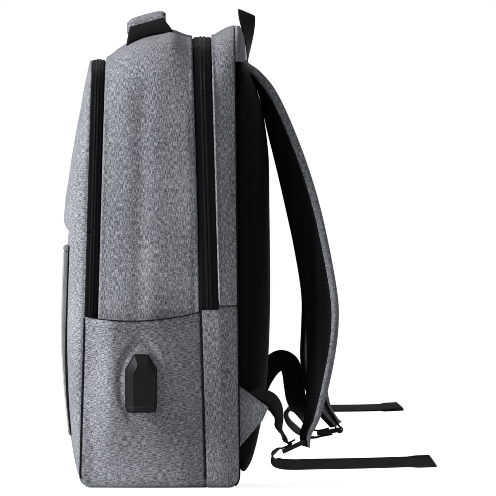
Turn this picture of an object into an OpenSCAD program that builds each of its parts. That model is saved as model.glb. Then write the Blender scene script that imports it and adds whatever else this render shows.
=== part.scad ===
// Laptop backpack with a solar panel on its front, two zipped compartments, two slip pockets,
// a moulded USB outlet on one side and a padded harness.
// +Z is up, the front faces -Y, the wearer's back is at +Y, and the origin is the middle of the base.

/* [Pack] */
// Width across the middle of the main compartment
main_w = 300; // [280:2:330]
// Width at the front zip
front_w = 276; // [262:2:290]
// Width at the main zip
rear_w = 292; // [280:2:306]
// Width at the seam of the back panel
back_w = 280; // [270:2:296]
// Height of the top at the front zip
front_h = 414; // [400:1:424]
// Height of the top at the main zip
main_zip_h = 436; // [430:1:444]
// Rise of the top's crown between the two zips
crown_rise = 15; // [8:1:22]
// Height of the top at the seam of the back panel
back_h = 448; // [442:1:456]
// Radius of the top corners, seen from the front
top_r = 52; // [40:1:64]
// Fall of the top from its middle to its corners
top_sag = 8; // [4:1:12]
// Radius of the roll from the walls to the base
base_r = 12; // [8:1:15]
// Thickness of a cloth wall with its lining
wall = 2; // [1.5:0.1:2.4]

/* [Seams] */
// Place of the front seam at the base
front_y = -79.5; // [-90:0.5:-76]
// Lean of the front seam, run per rise
front_lean = 0.028; // [0.01:0.002:0.04]
// Place of the main zip's front edge at the base
main_zip_y = 42.7; // [36:0.1:45]
// Lean of the main zip, run per rise
main_lean = -0.029; // [-0.04:0.001:-0.01]
// Place of the back panel's seam at the base
back_y = 75; // [72:0.5:82]
// Lean of the back panel's seam, run per rise
back_lean = -0.011; // [-0.02:0.001:0]
// Height of the pocket hem at its front end
hem_z = 165; // [150:1:172]
// Height of the seam where the main zip ends
seam_z = 176; // [174:1:190]
// Height of the crease that the front flap folds on
crease_z = 247; // [240:1:262]

/* [Zips] */
// Width of the closed front zip
front_zip_w = 12; // [10:0.5:14]
// Width of the closed main zip
main_zip_w = 17; // [14:0.5:18]
// Thickness of the zip tape
tape_t = 1.2; // [0.8:0.1:1.4]
// Width of the front zip's closed coil
front_coil_w = 4.6; // [4:0.1:6]
// Width of the main zip's closed coil
main_coil_w = 6; // [5:0.1:7.5]
// Height of the coils above the tape
coil_h = 1.5; // [1:0.1:2]

/* [Front] */
// Depth of the front panel's belly in front of its seam
front_depth = 19.5; // [14:0.5:24]
// Height of the belly's deepest place
belly_z = 176; // [160:1:190]
// Depth of the front at the flap's crease
crease_depth = 19; // [14:0.5:22]
// Depth of the flap's puff just above the crease
puff_depth = 23.5; // [20:0.5:26]
// Height of the puff above the crease
puff_rise = 12; // [8:1:16]

/* [Side pockets] */
// Room between the side wall's widest place and the pocket's outer face
pocket_gap = 10; // [8:0.5:14]
// Fall of the hem to its middle
hem_dip = 5; // [2:0.5:8]
// Rise of the hem from its front end to its rear end
hem_rise = 5; // [0:0.5:6]

/* [Solar panel] */
// Width of the panel
solar_w = 190; // [160:2:200]
// Height of the panel's lower edge
solar_z0 = 56; // [50:1:70]
// Height of the panel's upper edge
solar_z1 = 228; // [200:1:232]
// Thickness of the backing board
backing_t = 2.2; // [1.5:0.1:3]
// Thickness of a cell
cell_t = 0.4; // [0.3:0.1:0.6]
// Thickness of the clear cover
cover_t = 0.9; // [0.5:0.1:1.5]
// Columns of cells
cell_cols = 2; // [1:1:3]
// Rows of cells
cell_rows = 4; // [2:1:5]
// Gap between cells
cell_gap = 3; // [2:0.5:5]
// Bare margin from the cells to the panel's edge
cell_margin = 8; // [5:0.5:12]
// Width of the binding round the panel
binding_w = 6; // [4:0.5:8]

/* [Regulator] */
// Width of the charge regulator behind the panel
regulator_w = 62; // [50:1:80]
// Height of the regulator
regulator_l = 36; // [30:1:44]
// Depth of the regulator
regulator_d = 9; // [8:0.5:10]
// Height of the regulator's middle
regulator_z = 160; // [140:1:180]

/* [USB outlet] */
// Place of the outlet's middle along the pocket
usb_y = -20; // [-26:1:-12]
// Height of the outlet's middle
usb_z = 101; // [94:1:108]
// Width of the hood
hood_w = 28.6; // [26:0.2:32]
// Length of the hood
hood_l = 54; // [48:1:58]
// Height of the hood above the pocket
hood_h = 13; // [12:0.5:15]
// Width of the hood's flat top end
hood_tip_w = 13; // [10:0.5:16]
// Length of the hood's shoulders
hood_shoulder = 13; // [10:0.5:16]
// Thickness of the flange
flange_t = 1.6; // [1.2:0.1:2]
// Width of the socket's shell
socket_w = 13.1; // [12.5:0.1:14]
// Height of the socket's shell
socket_h = 5.7; // [5.4:0.1:6]
// Length of the socket's shell
socket_l = 15; // [12:0.5:17]
// Thickness of the socket's sheet metal
socket_t = 0.5; // [0.3:0.1:0.6]

/* [Back] */
// Gap from the back pad's side to the edge of the back
pad_inset = 14; // [12:1:20]
// Depth of the back pad at its deepest
pad_depth = 31; // [24:1:34]
// Height of the pad's deepest place
pad_mid_z = 215; // [190:1:240]
// Share of the depth that the pad loses at its top
pad_top_loss = 0.93; // [0.9:0.01:0.96]
// Height of the yoke, from its lower edge to the top of the back
yoke_h = 36; // [32:1:40]
// Depth of the yoke's roll
yoke_depth = 10; // [7:0.5:12]
// Thickness of the padded divider in front of the back panel
sleeve_t = 6; // [4:0.5:8]
// Height of the padded divider
sleeve_h = 320; // [280:5:350]

/* [Straps] */
// Width of a shoulder strap
strap_w = 65; // [55:1:72]
// Width of a strap at its root
root_w = 56; // [46:1:62]
// Width of a strap at its tip
tip_w = 28; // [26:1:34]
// Thickness of a strap
strap_t = 11; // [8:0.5:12]
// Distance from the middle to a strap's root
strap_x = 50; // [46:1:58]
// Distance that a strap's tip lies further out than its root
strap_flare = 62; // [50:1:68]
// Turn of a strap's inner face towards the side, in degrees
strap_turn = 27; // [15:1:32]
// Distance that a strap stands out behind its root
strap_reach = 71; // [62:1:78]
// Height of the right strap's tip
strap_tip_z = 52.6; // [50:0.2:56]
// Distance that the left strap's tip lies higher than the right one's
left_lift = 7; // [5:0.5:9]

/* [Webbing] */
// Width of the harness webbing
web_w = 20; // [18:0.5:24]
// Thickness of the harness webbing
web_t = 1.6; // [1.2:0.1:2]
// Length of the right tail that lies free behind its lock
tail_run = 112; // [90:1:130]
// Length of the left tail that lies free behind its lock
left_tail_run = 82; // [70:1:110]
// Thickness of a strap's anchor tab
tab_t = 3; // [2:0.1:4]
// Length of a lock
lock_l = 24; // [22:0.5:28]
// Thickness of a lock
lock_t = 4; // [3:0.1:5]
// Width of a lock's side rails
lock_rail = 3.6; // [3:0.1:5]
// Width of a lock's bars
lock_bar = 3.2; // [2.6:0.1:4]

/* [Loops] */
// Distance between the handle's legs
handle_span = 116; // [100:2:140]
// Height of the handle above the top
handle_rise = 18; // [16:1:26]
// Width of the handle at its legs
handle_w = 46; // [40:1:50]
// Width of the handle at its grip
grip_w = 37; // [32:1:40]
// Thickness of the handle's webbing
handle_t = 3; // [2:0.2:4]
// Tilt of the handle, front edge down, in degrees
handle_tilt = 12; // [6:1:16]
// Place of the handle's middle
handle_y = -12; // [-18:1:-6]
// Thickness of the sleeve wrapped round the grip
grip_t = 3; // [2:0.2:4]
// Height of the hang loop's middle line above its root
loop_h = 49; // [42:1:56]
// Distance between the hang loop's legs
loop_span = 25; // [22:0.5:25.5]
// Width of the hang loop's webbing
loop_w = 17.5; // [15:0.5:19]

/* [Sliders] */
// Length of a slider
slider_l = 13; // [11:0.5:15]
// Width of a slider
slider_w = 10; // [9.4:0.2:12]
// Thickness of a slider's body over the coil
slider_t = 2.2; // [1.8:0.1:3]
// Diameter of the bar that a pull hangs on
pull_bar_d = 1.8; // [1.4:0.1:2.2]
// Length of a pull
pull_l = 34; // [26:1:40]
// Width of a pull
pull_w = 7; // [6:0.2:8]
// Thickness of a pull
pull_t = 2; // [1.6:0.1:2.4]
// Height of the front slider
front_slider_z = 206; // [202:1:216]
// Height of the lower main slider
main_slider_z = 200; // [196:1:210]
// Distance between the two main sliders
slider_pitch = 52; // [48:1:60]

/* [Fits] */
// Clearance between pieces that lie against each other
fit = 0.3; // [0.2:0.05:0.4]

/* [Hidden] */
$fn = 48;

// Colours of the cloth, webbing, plastic and metal
heather = "#8f9496";
black_cloth = "#26272a";
black_plastic = "#1b1c1e";
gunmetal = "#5c5f63";

// Steps along the straight sides, corners and top of a wall, and across it
side_n = 4;
corner_n = 7;
top_n = 5;
cross_n = 8;
// Gap left at the very tip of a rounded outline
tip_gap = 0.5;

// A station is the place at the base, lean, half width and height of one line round the pack
front_edge = [front_y, front_lean, front_w / 2, front_h];
front_zip_mid = front_edge + [front_zip_w / 2, 0, 0, 0];
front_zip_back = front_edge + [front_zip_w, 0, 0, 0];
main_zip_front = [main_zip_y, main_lean, rear_w / 2, main_zip_h];
main_zip_mid = main_zip_front + [main_zip_w / 2, 0, 0, 0];
main_zip_back = main_zip_front + [main_zip_w, 0, 0, 0];
back_edge = [back_y, back_lean, back_w / 2, back_h];
main_bulge = main_w / 2 - (front_w + rear_w) / 4;
main_stations = stations(front_zip_back, main_zip_front, main_bulge, crown_rise);
rear_stations = stations(main_zip_back, back_edge, 1, 2);
side_stations = concat([front_edge], main_stations);
rear_low_stations = concat([main_zip_front], rear_stations);
pocket_x = main_w / 2 + pocket_gap;

function lerp(a, b, t) = a + (b - a) * t;
function smooth(t) = let (c = min(1, max(0, t))) c * c * (3 - 2 * c);
function unit(v) = v / norm(v);
function flatten(rows) = [for (row = rows) for (item = row) item];

// Stations between two lines, swelling in width and height halfway
function stations(a, b, swell_w, swell_h) = [
    for (i = [0:cross_n])
        let (t = i / cross_n, s = 4 * t * (1 - t)) lerp(a, b, t) + [0, 0, swell_w * s, swell_h * s]
];

// A smooth curve through points, with n steps between each pair
function curve(p, n) = let (last = len(p) - 1) concat(
    [for (i = [0:last - 1]) for (k = [0:n - 1])
        let (
            t = k / n,
            a = p[max(i - 1, 0)],
            b = p[i],
            c = p[i + 1],
            d = p[min(i + 2, last)]
        )
        (2 * b + (c - a) * t + (2 * a - 5 * b + 4 * c - d) * t * t
            + (3 * b - a - 3 * c + d) * t * t * t) / 2],
    [p[last]]
);

// Direction of a path at one of its points
function along(p, i) = unit(p[min(i + 1, len(p) - 1)] - p[max(i - 1, 0)]);

// A solid of triangles, turned right way out by the sign of its volume
module solid(points, faces) {
    sixfold = [for (f = faces) cross(points[f[0]], points[f[1]]) * points[f[2]]] * [for (f = faces) 1];
    polyhedron(points, sixfold < 0 ? faces : [for (f = faces) [f[2], f[1], f[0]]]);
}

function quad(a, b, c, d) = [[a, b, c], [a, c, d]];

// A thick sheet between two grids of points with equal rows and columns
module sheet(a, b) {
    rows = len(a) - 1;
    cols = len(a[0]) - 1;
    size = (rows + 1) * (cols + 1);
    function at(r, c) = r * (cols + 1) + c;
    skin = [for (r = [0:rows - 1]) for (c = [0:cols - 1])
        each concat(
            quad(at(r, c), at(r, c + 1), at(r + 1, c + 1), at(r + 1, c)),
            quad(size + at(r, c), size + at(r + 1, c), size + at(r + 1, c + 1), size + at(r, c + 1))
        )];
    ends = [for (c = [0:cols - 1])
        each concat(
            quad(at(0, c + 1), at(0, c), size + at(0, c), size + at(0, c + 1)),
            quad(at(rows, c), at(rows, c + 1), size + at(rows, c + 1), size + at(rows, c))
        )];
    edges = [for (r = [0:rows - 1])
        each concat(
            quad(at(r, 0), at(r + 1, 0), size + at(r + 1, 0), size + at(r, 0)),
            quad(at(r + 1, cols), at(r, cols), size + at(r, cols), size + at(r + 1, cols))
        )];
    solid(concat(flatten(a), flatten(b)), concat(skin, ends, edges));
}

// A solid through rings of points; closed joins its last ring to its first, else the ends are capped
module sweep(rings, closed = false) {
    count = len(rings);
    sides = len(rings[0]);
    function at(r, c) = (r % count) * sides + c % sides;
    skin = [for (r = [0:count - (closed ? 1 : 2)]) for (c = [0:sides - 1])
        each quad(at(r, c), at(r, c + 1), at(r + 1, c + 1), at(r + 1, c))];
    end = count - 1;
    caps = closed ? [] : [for (c = [1:sides - 2])
        each [[at(0, 0), at(0, c + 1), at(0, c)], [at(end, 0), at(end, c), at(end, c + 1)]]];
    solid(flatten(rings), concat(skin, caps));
}

// Half widths of an upright U at height z, with its outline drawn in by inset
function u_half(s, z, inset = 0) =
    let (
        w = s[2] - inset,
        h = s[3] - inset,
        r = top_r - inset,
        shoulder = h - top_sag - r
    )
    z < base_r ? s[2] - base_r + sqrt(pow(base_r - inset, 2) - pow(min(base_r - z, base_r - inset), 2)) :
    z < shoulder ? w :
    z < h - top_sag ? w - r + sqrt(r * r - pow(z - shoulder, 2)) :
    (w - r) * sqrt(max(0, h - z) / top_sag);

// Path of the U from its right foot over the top to its left foot, as [x, z]
function u_path(w, h, r, z0) =
    let (
        shoulder = h - top_sag - r,
        half = concat(
            [for (i = [0:side_n - 1]) [w, lerp(z0, shoulder, i / side_n)]],
            [for (i = [0:corner_n - 1])
                [w - r + r * cos(90 * i / corner_n), shoulder + r * sin(90 * i / corner_n)]],
            [for (i = [0:top_n])
                let (k = 1 - i / top_n) [(w - r) * k, h - top_sag * k * k]]
        )
    )
    concat(half, [for (i = [len(half) - 2:-1:0]) [-half[i][0], half[i][1]]]);

// Points of a path laid on a station's leaning plane
function on_plane(s, path) = [for (p = path) [p[0], s[0] + s[1] * p[1], p[1]]];

// The U at a station, drawn in by inset
function u_ring(s, inset, z0) = on_plane(s, u_path(s[2] - inset, s[3] - inset, top_r - inset, z0));

// A wall that runs up one side, over the top and down the other
module arch_wall(line, z0)
    sheet([for (s = line) u_ring(s, 0, z0)], [for (s = line) u_ring(s, wall, z0)]);

// Path of a lower wall from its roll on the base up to z1
function foot_path(w, inset, z1) = concat(
    [for (a = [0:22.5:90])
        [w - base_r + (base_r - inset) * sin(a), base_r - (base_r - inset) * cos(a)]],
    [[w - inset, z1]]
);

// A lower wall on the right side
module foot_wall(line, z1)
    sheet(
        [for (s = line) on_plane(s, foot_path(s[2], 0, z1))],
        [for (s = line) on_plane(s, foot_path(s[2], wall, z1))]
    );

// Front of the pack: columns crowd towards the edges, and the belly fades out there
function column(k, n) = let (t = abs(k) / n) sign(k) * (1 - pow(1 - t, 2));
function belly(s) = pow(1 - pow(min(1, abs(s)), 5), 0.6);
function seam_y(z) = front_y + front_lean * z;

// Depth of the front panel below the crease, and of the flap above it
function panel_depth(z) =
    z < belly_z ?
        wall + (front_depth - wall) * pow(max(0, 1 - pow((belly_z - z) / (belly_z - base_r), 2)), 0.75) :
    lerp(front_depth, crease_depth, pow((z - belly_z) / (crease_z - belly_z), 2));
puff_z = crease_z + puff_rise;
function flap_depth(z) =
    z < puff_z ? lerp(crease_depth, puff_depth, smooth((z - crease_z) / puff_rise)) :
    wall + (puff_depth - wall) * (1 - pow(min(1, (z - puff_z) / (front_h - puff_z)), 1.35));

// A row of the front at height z
front_n = 8;
function front_row(z, depth, inset) =
    let (half = u_half(front_edge, z, inset))
    [for (k = [-front_n:front_n])
        let (s = column(k, front_n)) [half * s, seam_y(z) - (depth - inset) * belly(s), z]];

// Outer face of the front panel at a place on it
function skin_y(x, z) = seam_y(z) - panel_depth(z) * belly(x / (front_w / 2));

// A row of the roll between an upright panel and the base, a degrees up from the base, moved along Y by off
function roll_row(s, dir, a, inset, off, n) =
    let (
        z = base_r - (base_r - inset) * cos(a),
        half = u_half(s, z, wall) - 3 * fit,
        y = s[0] + s[1] * z + off + dir * (base_r - (base_r - inset) * sin(a))
    )
    [for (k = [-n:n]) [half * column(k, n), y, z]];

// A row of a flat inner panel that fills a station's plane, moved along Y by off
function flat_row(s, z, off) =
    let (half = u_half(s, z, wall + 2 * fit))
    [for (k = [-1:1]) [half * k, s[0] + s[1] * z + off, z]];

// Even steps from a to b
function steps(a, b, n) = [for (i = [0:n]) lerp(a, b, i / n)];

// Steps from a to b that crowd towards b
function crowded(a, b, n) = [for (i = [0:n]) lerp(a, b, 1 - pow(1 - i / n, 1.7))];

module flat_panel(s, z0, z1, off, t) {
    heights = crowded(z0, z1, 9);
    sheet([for (z = heights) flat_row(s, z, off)], [for (z = heights) flat_row(s, z, off + t)]);
}

// Cloth body of the pack

module base_panel() color(heather)
    intersection() {
        line = concat(side_stations, rear_stations);
        last = len(line) - 1;
        linear_extrude(wall)
            polygon(concat(
                [for (s = line) [s[2] - base_r - fit, s[0]]],
                [for (i = [last:-1:0]) [base_r + fit - line[i][2], line[i][0]]]
            ));
        translate([-main_w, front_y + base_r - wall + fit, -wall])
            cube([2 * main_w, back_y - front_y - 2 * base_r + wall - 2 * fit, 3 * wall]);
    }

module front_panel() color(heather) {
    heights = steps(base_r, crease_z - fit, 12);
    roll = [0:22.5:67.5];
    sheet(
        concat([for (a = roll) roll_row(front_edge, 1, a, 0, -wall, front_n)],
            [for (z = heights) front_row(z, panel_depth(z), 0)]),
        concat([for (a = roll) roll_row(front_edge, 1, a, wall, -wall, front_n)],
            [for (z = heights) front_row(z, panel_depth(z), wall)])
    );
}

function flap_heights(top) =
    concat([for (z = steps(crease_z + fit, puff_z, 3)) z], [for (i = [1:12]) crowded(puff_z, top, 12)[i]]);
module front_flap() color(heather)
    sheet(
        [for (z = flap_heights(front_h - tip_gap)) front_row(z, flap_depth(z), 0)],
        [for (z = flap_heights(front_h - wall - tip_gap)) front_row(z, flap_depth(z), wall)]
    );

module front_pocket_wall() color(black_cloth)
    flat_panel(front_zip_back, wall + fit, front_h - wall - fit - tip_gap, fit, 1);

module main_gusset() color(heather) arch_wall(main_stations, hem_z);

module side_wall_right() color(heather) foot_wall(side_stations, hem_z);
module side_wall_left() mirror([1, 0, 0]) side_wall_right();

module rear_gusset() color(heather) arch_wall(rear_stations, seam_z);

module rear_wall_right() color(heather) foot_wall(rear_low_stations, seam_z);
module rear_wall_left() mirror([1, 0, 0]) rear_wall_right();

// Slip pocket: it stands off the side wall in a flat plane and is drawn in along its seams
function pocket_share(s) = (s[0] - front_y) / (main_zip_y - front_y);
function hem_height(t) = hem_z + hem_rise * t * t - hem_dip * 4 * t * (1 - t);
function pocket_column(s, inset) =
    let (t = pocket_share(s), spread = smooth(min(t, 1 - t) / 0.25))
    [for (z = steps(base_r + wall, hem_height(t), 9))
        let (lift = spread * smooth((z - base_r) / 45))
        [lerp(s[2] + fit + wall, pocket_x, lift) - inset, s[0] + s[1] * z, z]];

module side_pocket_right() color(heather)
    sheet([for (s = side_stations) pocket_column(s, 0)], [for (s = side_stations) pocket_column(s, wall)]);
module side_pocket_left() mirror([1, 0, 0]) side_pocket_right();

// Back panel, pad and yoke

function board_face(inset) = concat(
    [for (a = [0:22.5:67.5]) roll_row(back_edge, -1, a, inset, 0, 1)],
    [for (z = crowded(base_r, back_h - wall - fit - tip_gap, 12)) flat_row(back_edge, z, -inset)]
);
module back_board() color(black_cloth) sheet(board_face(0), board_face(wall));

function back_seam_y(z) = back_y + back_lean * z;

yoke_z = back_h - yoke_h;

// The pad swells to its middle, thins to a lip under the yoke and has a valley for the spine
pad_top_z = yoke_z - 1;
pad_edge_t = 3;
spine_w = 17;
function pad_swell(z) =
    z < pad_mid_z ? pow(max(0, 1 - pow((pad_mid_z - z) / (pad_mid_z - base_r), 2)), 0.52) :
    1 - pad_top_loss * pow((z - pad_mid_z) / (pad_top_z - pad_mid_z), 3);
function spine_valley(x) = 1 - 0.4 * exp(-pow(x / spine_w, 2));
pad_half = back_w / 2 - pad_inset;
function pad_thick(x, z) =
    pad_edge_t + (pad_depth - pad_edge_t) * pad_swell(z) * belly(x / pad_half) * spine_valley(x);
function pad_row(z, share) =
    [for (x = [for (k = [-12:12]) pad_half * sign(k) * (1 - pow(1 - abs(k) / 12, 1.25))])
        [x, back_seam_y(z) + fit + share * pad_thick(x, z), z]];

module back_pad() color(black_cloth) {
    heights = steps(base_r, pad_top_z, 16);
    sheet([for (z = heights) pad_row(z, 1)], [for (z = heights) pad_row(z, 0)]);
}

// The yoke is a roll of cloth along the top of the back
yoke_mid_z = yoke_z + 8;
function yoke_swell(z) =
    z < yoke_mid_z ? 1 : sqrt(max(0, 1 - pow((z - yoke_mid_z) / (back_h - yoke_mid_z), 2)));
function yoke_row(z, share) =
    let (half = u_half(back_edge, z, wall))
    [for (k = [-front_n:front_n])
        let (s = column(k, front_n))
        let (thick = wall + (yoke_depth - wall) * yoke_swell(z) * belly(s))
        [half * s, back_seam_y(z) + fit + share * thick, z]];

module back_yoke() color(heather) {
    heights = crowded(yoke_z, back_h - wall - tip_gap, 7);
    sheet([for (z = heights) yoke_row(z, 1)], [for (z = heights) yoke_row(z, 0)]);
}

// Padded divider that parts a laptop from the main compartment
sleeve_room = 26;
module laptop_sleeve() color(black_cloth)
    flat_panel(back_edge, wall + fit, sleeve_h, -wall - sleeve_room - sleeve_t, sleeve_t);

// Zips: each half is a tape with its row of coil along the meeting edge

function zip_path(w, h, r, z0, z1) = is_undef(z1) ? u_path(w, h, r, z0) : [[w, z0], [w, z1]];
function zip_line(s, inset, z0, z1) =
    on_plane(s, zip_path(s[2] - inset, s[3] - inset, top_r - inset, z0, z1));

module zip_half(outer, mid, coil_w, z0, z1) {
    side = sign(outer[0] - mid[0]);
    meet = mid + [side * fit / 2, 0, 0, 0];
    coil = mid + [side * coil_w / 2, 0, 0, 0];
    lines = [
        zip_line(coil, 0, z0, z1), zip_line(coil, -coil_h, z0, z1), zip_line(meet, -coil_h, z0, z1),
        zip_line(meet, tape_t, z0, z1), zip_line(outer, tape_t, z0, z1), zip_line(outer, 0, z0, z1)
    ];
    sweep([for (i = [0:len(lines[0]) - 1]) [for (l = lines) l[i]]]);
}

module front_zip_flap_half() color(black_cloth)
    zip_half(front_edge, front_zip_mid, front_coil_w, crease_z + fit);
module front_zip_lower_half() color(black_cloth)
    for (m = [0, 1])
        mirror([m, 0, 0]) zip_half(front_edge, front_zip_mid, front_coil_w, hem_z, crease_z - fit);
module front_zip_body_half() color(black_cloth)
    zip_half(front_zip_back, front_zip_mid, front_coil_w, hem_z);
module main_zip_front_half() color(black_cloth)
    zip_half(main_zip_front, main_zip_mid, main_coil_w, seam_z);
module main_zip_rear_half() color(black_cloth)
    zip_half(main_zip_back, main_zip_mid, main_coil_w, seam_z);

// Sliders and pulls lie on the left side: across the zip, along it and out from it

module on_zip(s, z)
    mirror([1, 0, 0])
        translate([s[2], s[0] + s[1] * z, z])
            rotate([-atan(s[1]), 0, 0])
                rotate([90, 0, 90])
                    children();

slider_top = coil_h + fit + slider_t;
bridge_w = 3;
bridge_t = 1.2;
pull_axis = slider_top + pull_bar_d / 2 + fit;
bridge_z = pull_axis + pull_bar_d / 2 + fit;

module slider(coil_w) {
    end_w = 0.86 * slider_w;
    difference() {
        translate([0, 0, fit])
            linear_extrude(slider_top - fit)
                polygon([
                    [-slider_w / 2, slider_l / 2], [-slider_w / 2, 0], [-end_w / 2, -slider_l / 2],
                    [end_w / 2, -slider_l / 2], [slider_w / 2, 0], [slider_w / 2, slider_l / 2]
                ]);
        translate([-coil_w / 2 - fit, -slider_l, -fit])
            cube([coil_w + 2 * fit, 2 * slider_l, coil_h + 2 * fit]);
    }
    for (side = [-1, 1])
        translate([-bridge_w / 2, side * (slider_l / 2 - 1) - 1, slider_top])
            cube([bridge_w, 2, bridge_z - slider_top]);
    translate([-bridge_w / 2, -slider_l / 2, bridge_z])
        cube([bridge_w, slider_l, bridge_t]);
}

module pull() {
    window_w = bridge_w + 4 * fit;
    window_l = slider_l / 2 + 2 * fit;
    hole_d = pull_w / 2;
    translate([0, 0, pull_axis]) {
        rotate([0, 90, 0]) cylinder(d = pull_bar_d, h = pull_w, center = true);
        difference() {
            translate([0, 0, -pull_bar_d / 2])
                linear_extrude(pull_bar_d)
                    union() {
                        translate([-pull_w / 2, pull_w / 2 - pull_l]) square([pull_w, pull_l - pull_w / 2]);
                        translate([0, pull_w / 2 - pull_l]) circle(d = pull_w);
                    }
            translate([-window_w / 2, -window_l, -pull_t]) cube([window_w, window_l, 2 * pull_t]);
            translate([0, pull_w / 2 - pull_l, -pull_t]) cylinder(d = hole_d, h = 2 * pull_t);
        }
        translate([0, -window_l - pull_w / 2, 0])
            linear_extrude(pull_t - pull_bar_d / 2)
                translate([-pull_w / 2, 3 * pull_w / 2 - pull_l])
                    square([pull_w, pull_l - window_l - 2 * pull_w]);
    }
}

module front_slider() color(gunmetal) on_zip(front_zip_mid, front_slider_z) slider(front_coil_w);
module front_pull() color(gunmetal) on_zip(front_zip_mid, front_slider_z) pull();
module main_slider_lower() color(gunmetal) on_zip(main_zip_mid, main_slider_z) slider(main_coil_w);
module main_pull_lower() color(gunmetal) on_zip(main_zip_mid, main_slider_z) pull();
upper_slider_z = main_slider_z + slider_pitch;
module main_slider_upper() color(gunmetal) on_zip(main_zip_mid, upper_slider_z) slider(main_coil_w);
module main_pull_upper() color(gunmetal) on_zip(main_zip_mid, upper_slider_z) pull();

// Solar panel: a laminate that follows the belly of the front

lamination = 0.15;
function solar_row(z, x0, x1, off, n) = [for (x = steps(x0, x1, n)) [x, skin_y(x, z) - off, z]];
module solar_sheet(x0, x1, z0, z1, off, t, nx, nz)
    sheet(
        [for (z = steps(z0, z1, nz)) solar_row(z, x0, x1, off + t, nx)],
        [for (z = steps(z0, z1, nz)) solar_row(z, x0, x1, off, nx)]
    );

solar_half = solar_w / 2;
cell_off = fit + backing_t + lamination;
cover_off = cell_off + cell_t + lamination;
module solar_backing() color(black_plastic)
    solar_sheet(-solar_half, solar_half, solar_z0, solar_z1, fit, backing_t, 12, 10);

module solar_cells() color("#161a2c") {
    cell_w = (solar_w - 2 * cell_margin - (cell_cols - 1) * cell_gap) / cell_cols;
    cell_l = (solar_z1 - solar_z0 - 2 * cell_margin - (cell_rows - 1) * cell_gap) / cell_rows;
    for (c = [0:cell_cols - 1]) for (r = [0:cell_rows - 1]) {
        x = -solar_half + cell_margin + c * (cell_w + cell_gap);
        z = solar_z0 + cell_margin + r * (cell_l + cell_gap);
        solar_sheet(x, x + cell_w, z, z + cell_l, cell_off, cell_t, 6, 3);
    }
}

module solar_cover() color("#9aa0a4")
    solar_sheet(-solar_half, solar_half, solar_z0, solar_z1, cover_off, cover_t, 12, 10);

module solar_binding() color(black_cloth) {
    t = backing_t + cell_t + cover_t;
    edge = solar_half + lamination;
    for (side = [-1, 1])
        solar_sheet(side * edge, side * (edge + binding_w), solar_z0, solar_z1, fit, t, 2, 10);
    for (z = [solar_z0 - binding_w - lamination, solar_z1 + lamination])
        solar_sheet(-edge - binding_w, edge + binding_w, z, z + binding_w, fit, t, 12, 1);
}

// Charge regulator on the inner face of the front panel, with a socket in its upper end
module solar_regulator() color(black_plastic) {
    y = skin_y(0, regulator_z) + wall + 2 * fit;
    z = regulator_z - regulator_l / 2;
    edge_r = 3;
    difference() {
        translate([0, y, z])
            linear_extrude(regulator_l)
                union() {
                    translate([edge_r - regulator_w / 2, 0]) square([regulator_w - 2 * edge_r, regulator_d]);
                    translate([-regulator_w / 2, 0]) square([regulator_w, regulator_d - edge_r]);
                    for (side = [-1, 1])
                        translate([side * (regulator_w / 2 - edge_r), regulator_d - edge_r])
                            circle(r = edge_r);
                }
        translate([-socket_w / 2, y + (regulator_d - socket_h) / 2, z + regulator_l - socket_l])
            cube([socket_w, socket_h, socket_l + 1]);
    }
}

// USB outlet: a bullet-shaped hood over a socket that opens downwards

module on_pocket()
    translate([pocket_x, usb_y, usb_z]) rotate([90, 0, 90]) children();

module bullet(grow = 0) {
    w = hood_w / 2 + grow;
    tip = hood_tip_w / 2 + grow / 2;
    top = hood_l / 2 + grow;
    foot_w = w - 2;
    polygon([
        [-tip, top], [-w, hood_l / 2 - hood_shoulder], [-w, 5 - hood_l / 2], [-foot_w, -top],
        [foot_w, -top], [w, 5 - hood_l / 2], [w, hood_l / 2 - hood_shoulder], [tip, top]
    ]);
}

flange_rim = 1.2;
hood_skirt = 4;
socket_z = flange_t + 2 * fit;
socket_b = 5 - hood_l / 2;
module usb_flange() color(black_plastic) on_pocket() linear_extrude(flange_t) bullet(flange_rim);

module usb_hood() color(black_plastic) on_pocket()
    difference() {
        translate([0, 0, flange_t]) {
            linear_extrude(hood_skirt) bullet();
            translate([0, 0, hood_skirt])
                linear_extrude(hood_h - hood_skirt - flange_t, scale = 0.66) bullet();
        }
        translate([-socket_w / 2 - 1.5, -hood_l, flange_t - 1])
            cube([socket_w + 3, hood_l + socket_b, socket_h + 3 + fit]);
        translate([-socket_w / 2 - fit, socket_b - 1, flange_t - 1])
            cube([socket_w + 2 * fit, socket_l + 1 + fit, socket_h + 1 + 3 * fit]);
    }

module usb_shell() color("#b9bbbd") on_pocket()
    translate([-socket_w / 2, socket_b, socket_z])
        difference() {
            cube([socket_w, socket_l, socket_h]);
            translate([socket_t, -1, socket_t])
                cube([socket_w - 2 * socket_t, socket_l - socket_t + 1, socket_h - 2 * socket_t]);
        }

module usb_tongue() color("#e9e9e6") on_pocket()
    translate([1.2 - socket_w / 2, socket_b + 1.5, socket_z + socket_h - socket_t - 2.1])
        cube([socket_w - 2.4, socket_l - socket_t - 1.5, 1.8]);

// Webbing: a flat band along points, with its width turned from one direction to another

function band_ring(p, i, w, t, across) =
    let (
        way = along(p, i),
        side = unit(across - way * (across * way)),
        out = cross(way, side)
    )
    [for (k = [[-1, -1], [1, -1], [1, 1], [-1, 1]]) p[i] + side * (k[0] * w / 2) + out * (k[1] * t / 2)];

module band(p, w, t, from, to, start = 0)
    sweep([for (i = [0:len(p) - 1])
        band_ring(p, i, w, t, unit(lerp(from, to, smooth((i / (len(p) - 1) - start) / (1 - start)))))]);

// Carry handle across the top, with a wrapped grip

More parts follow.
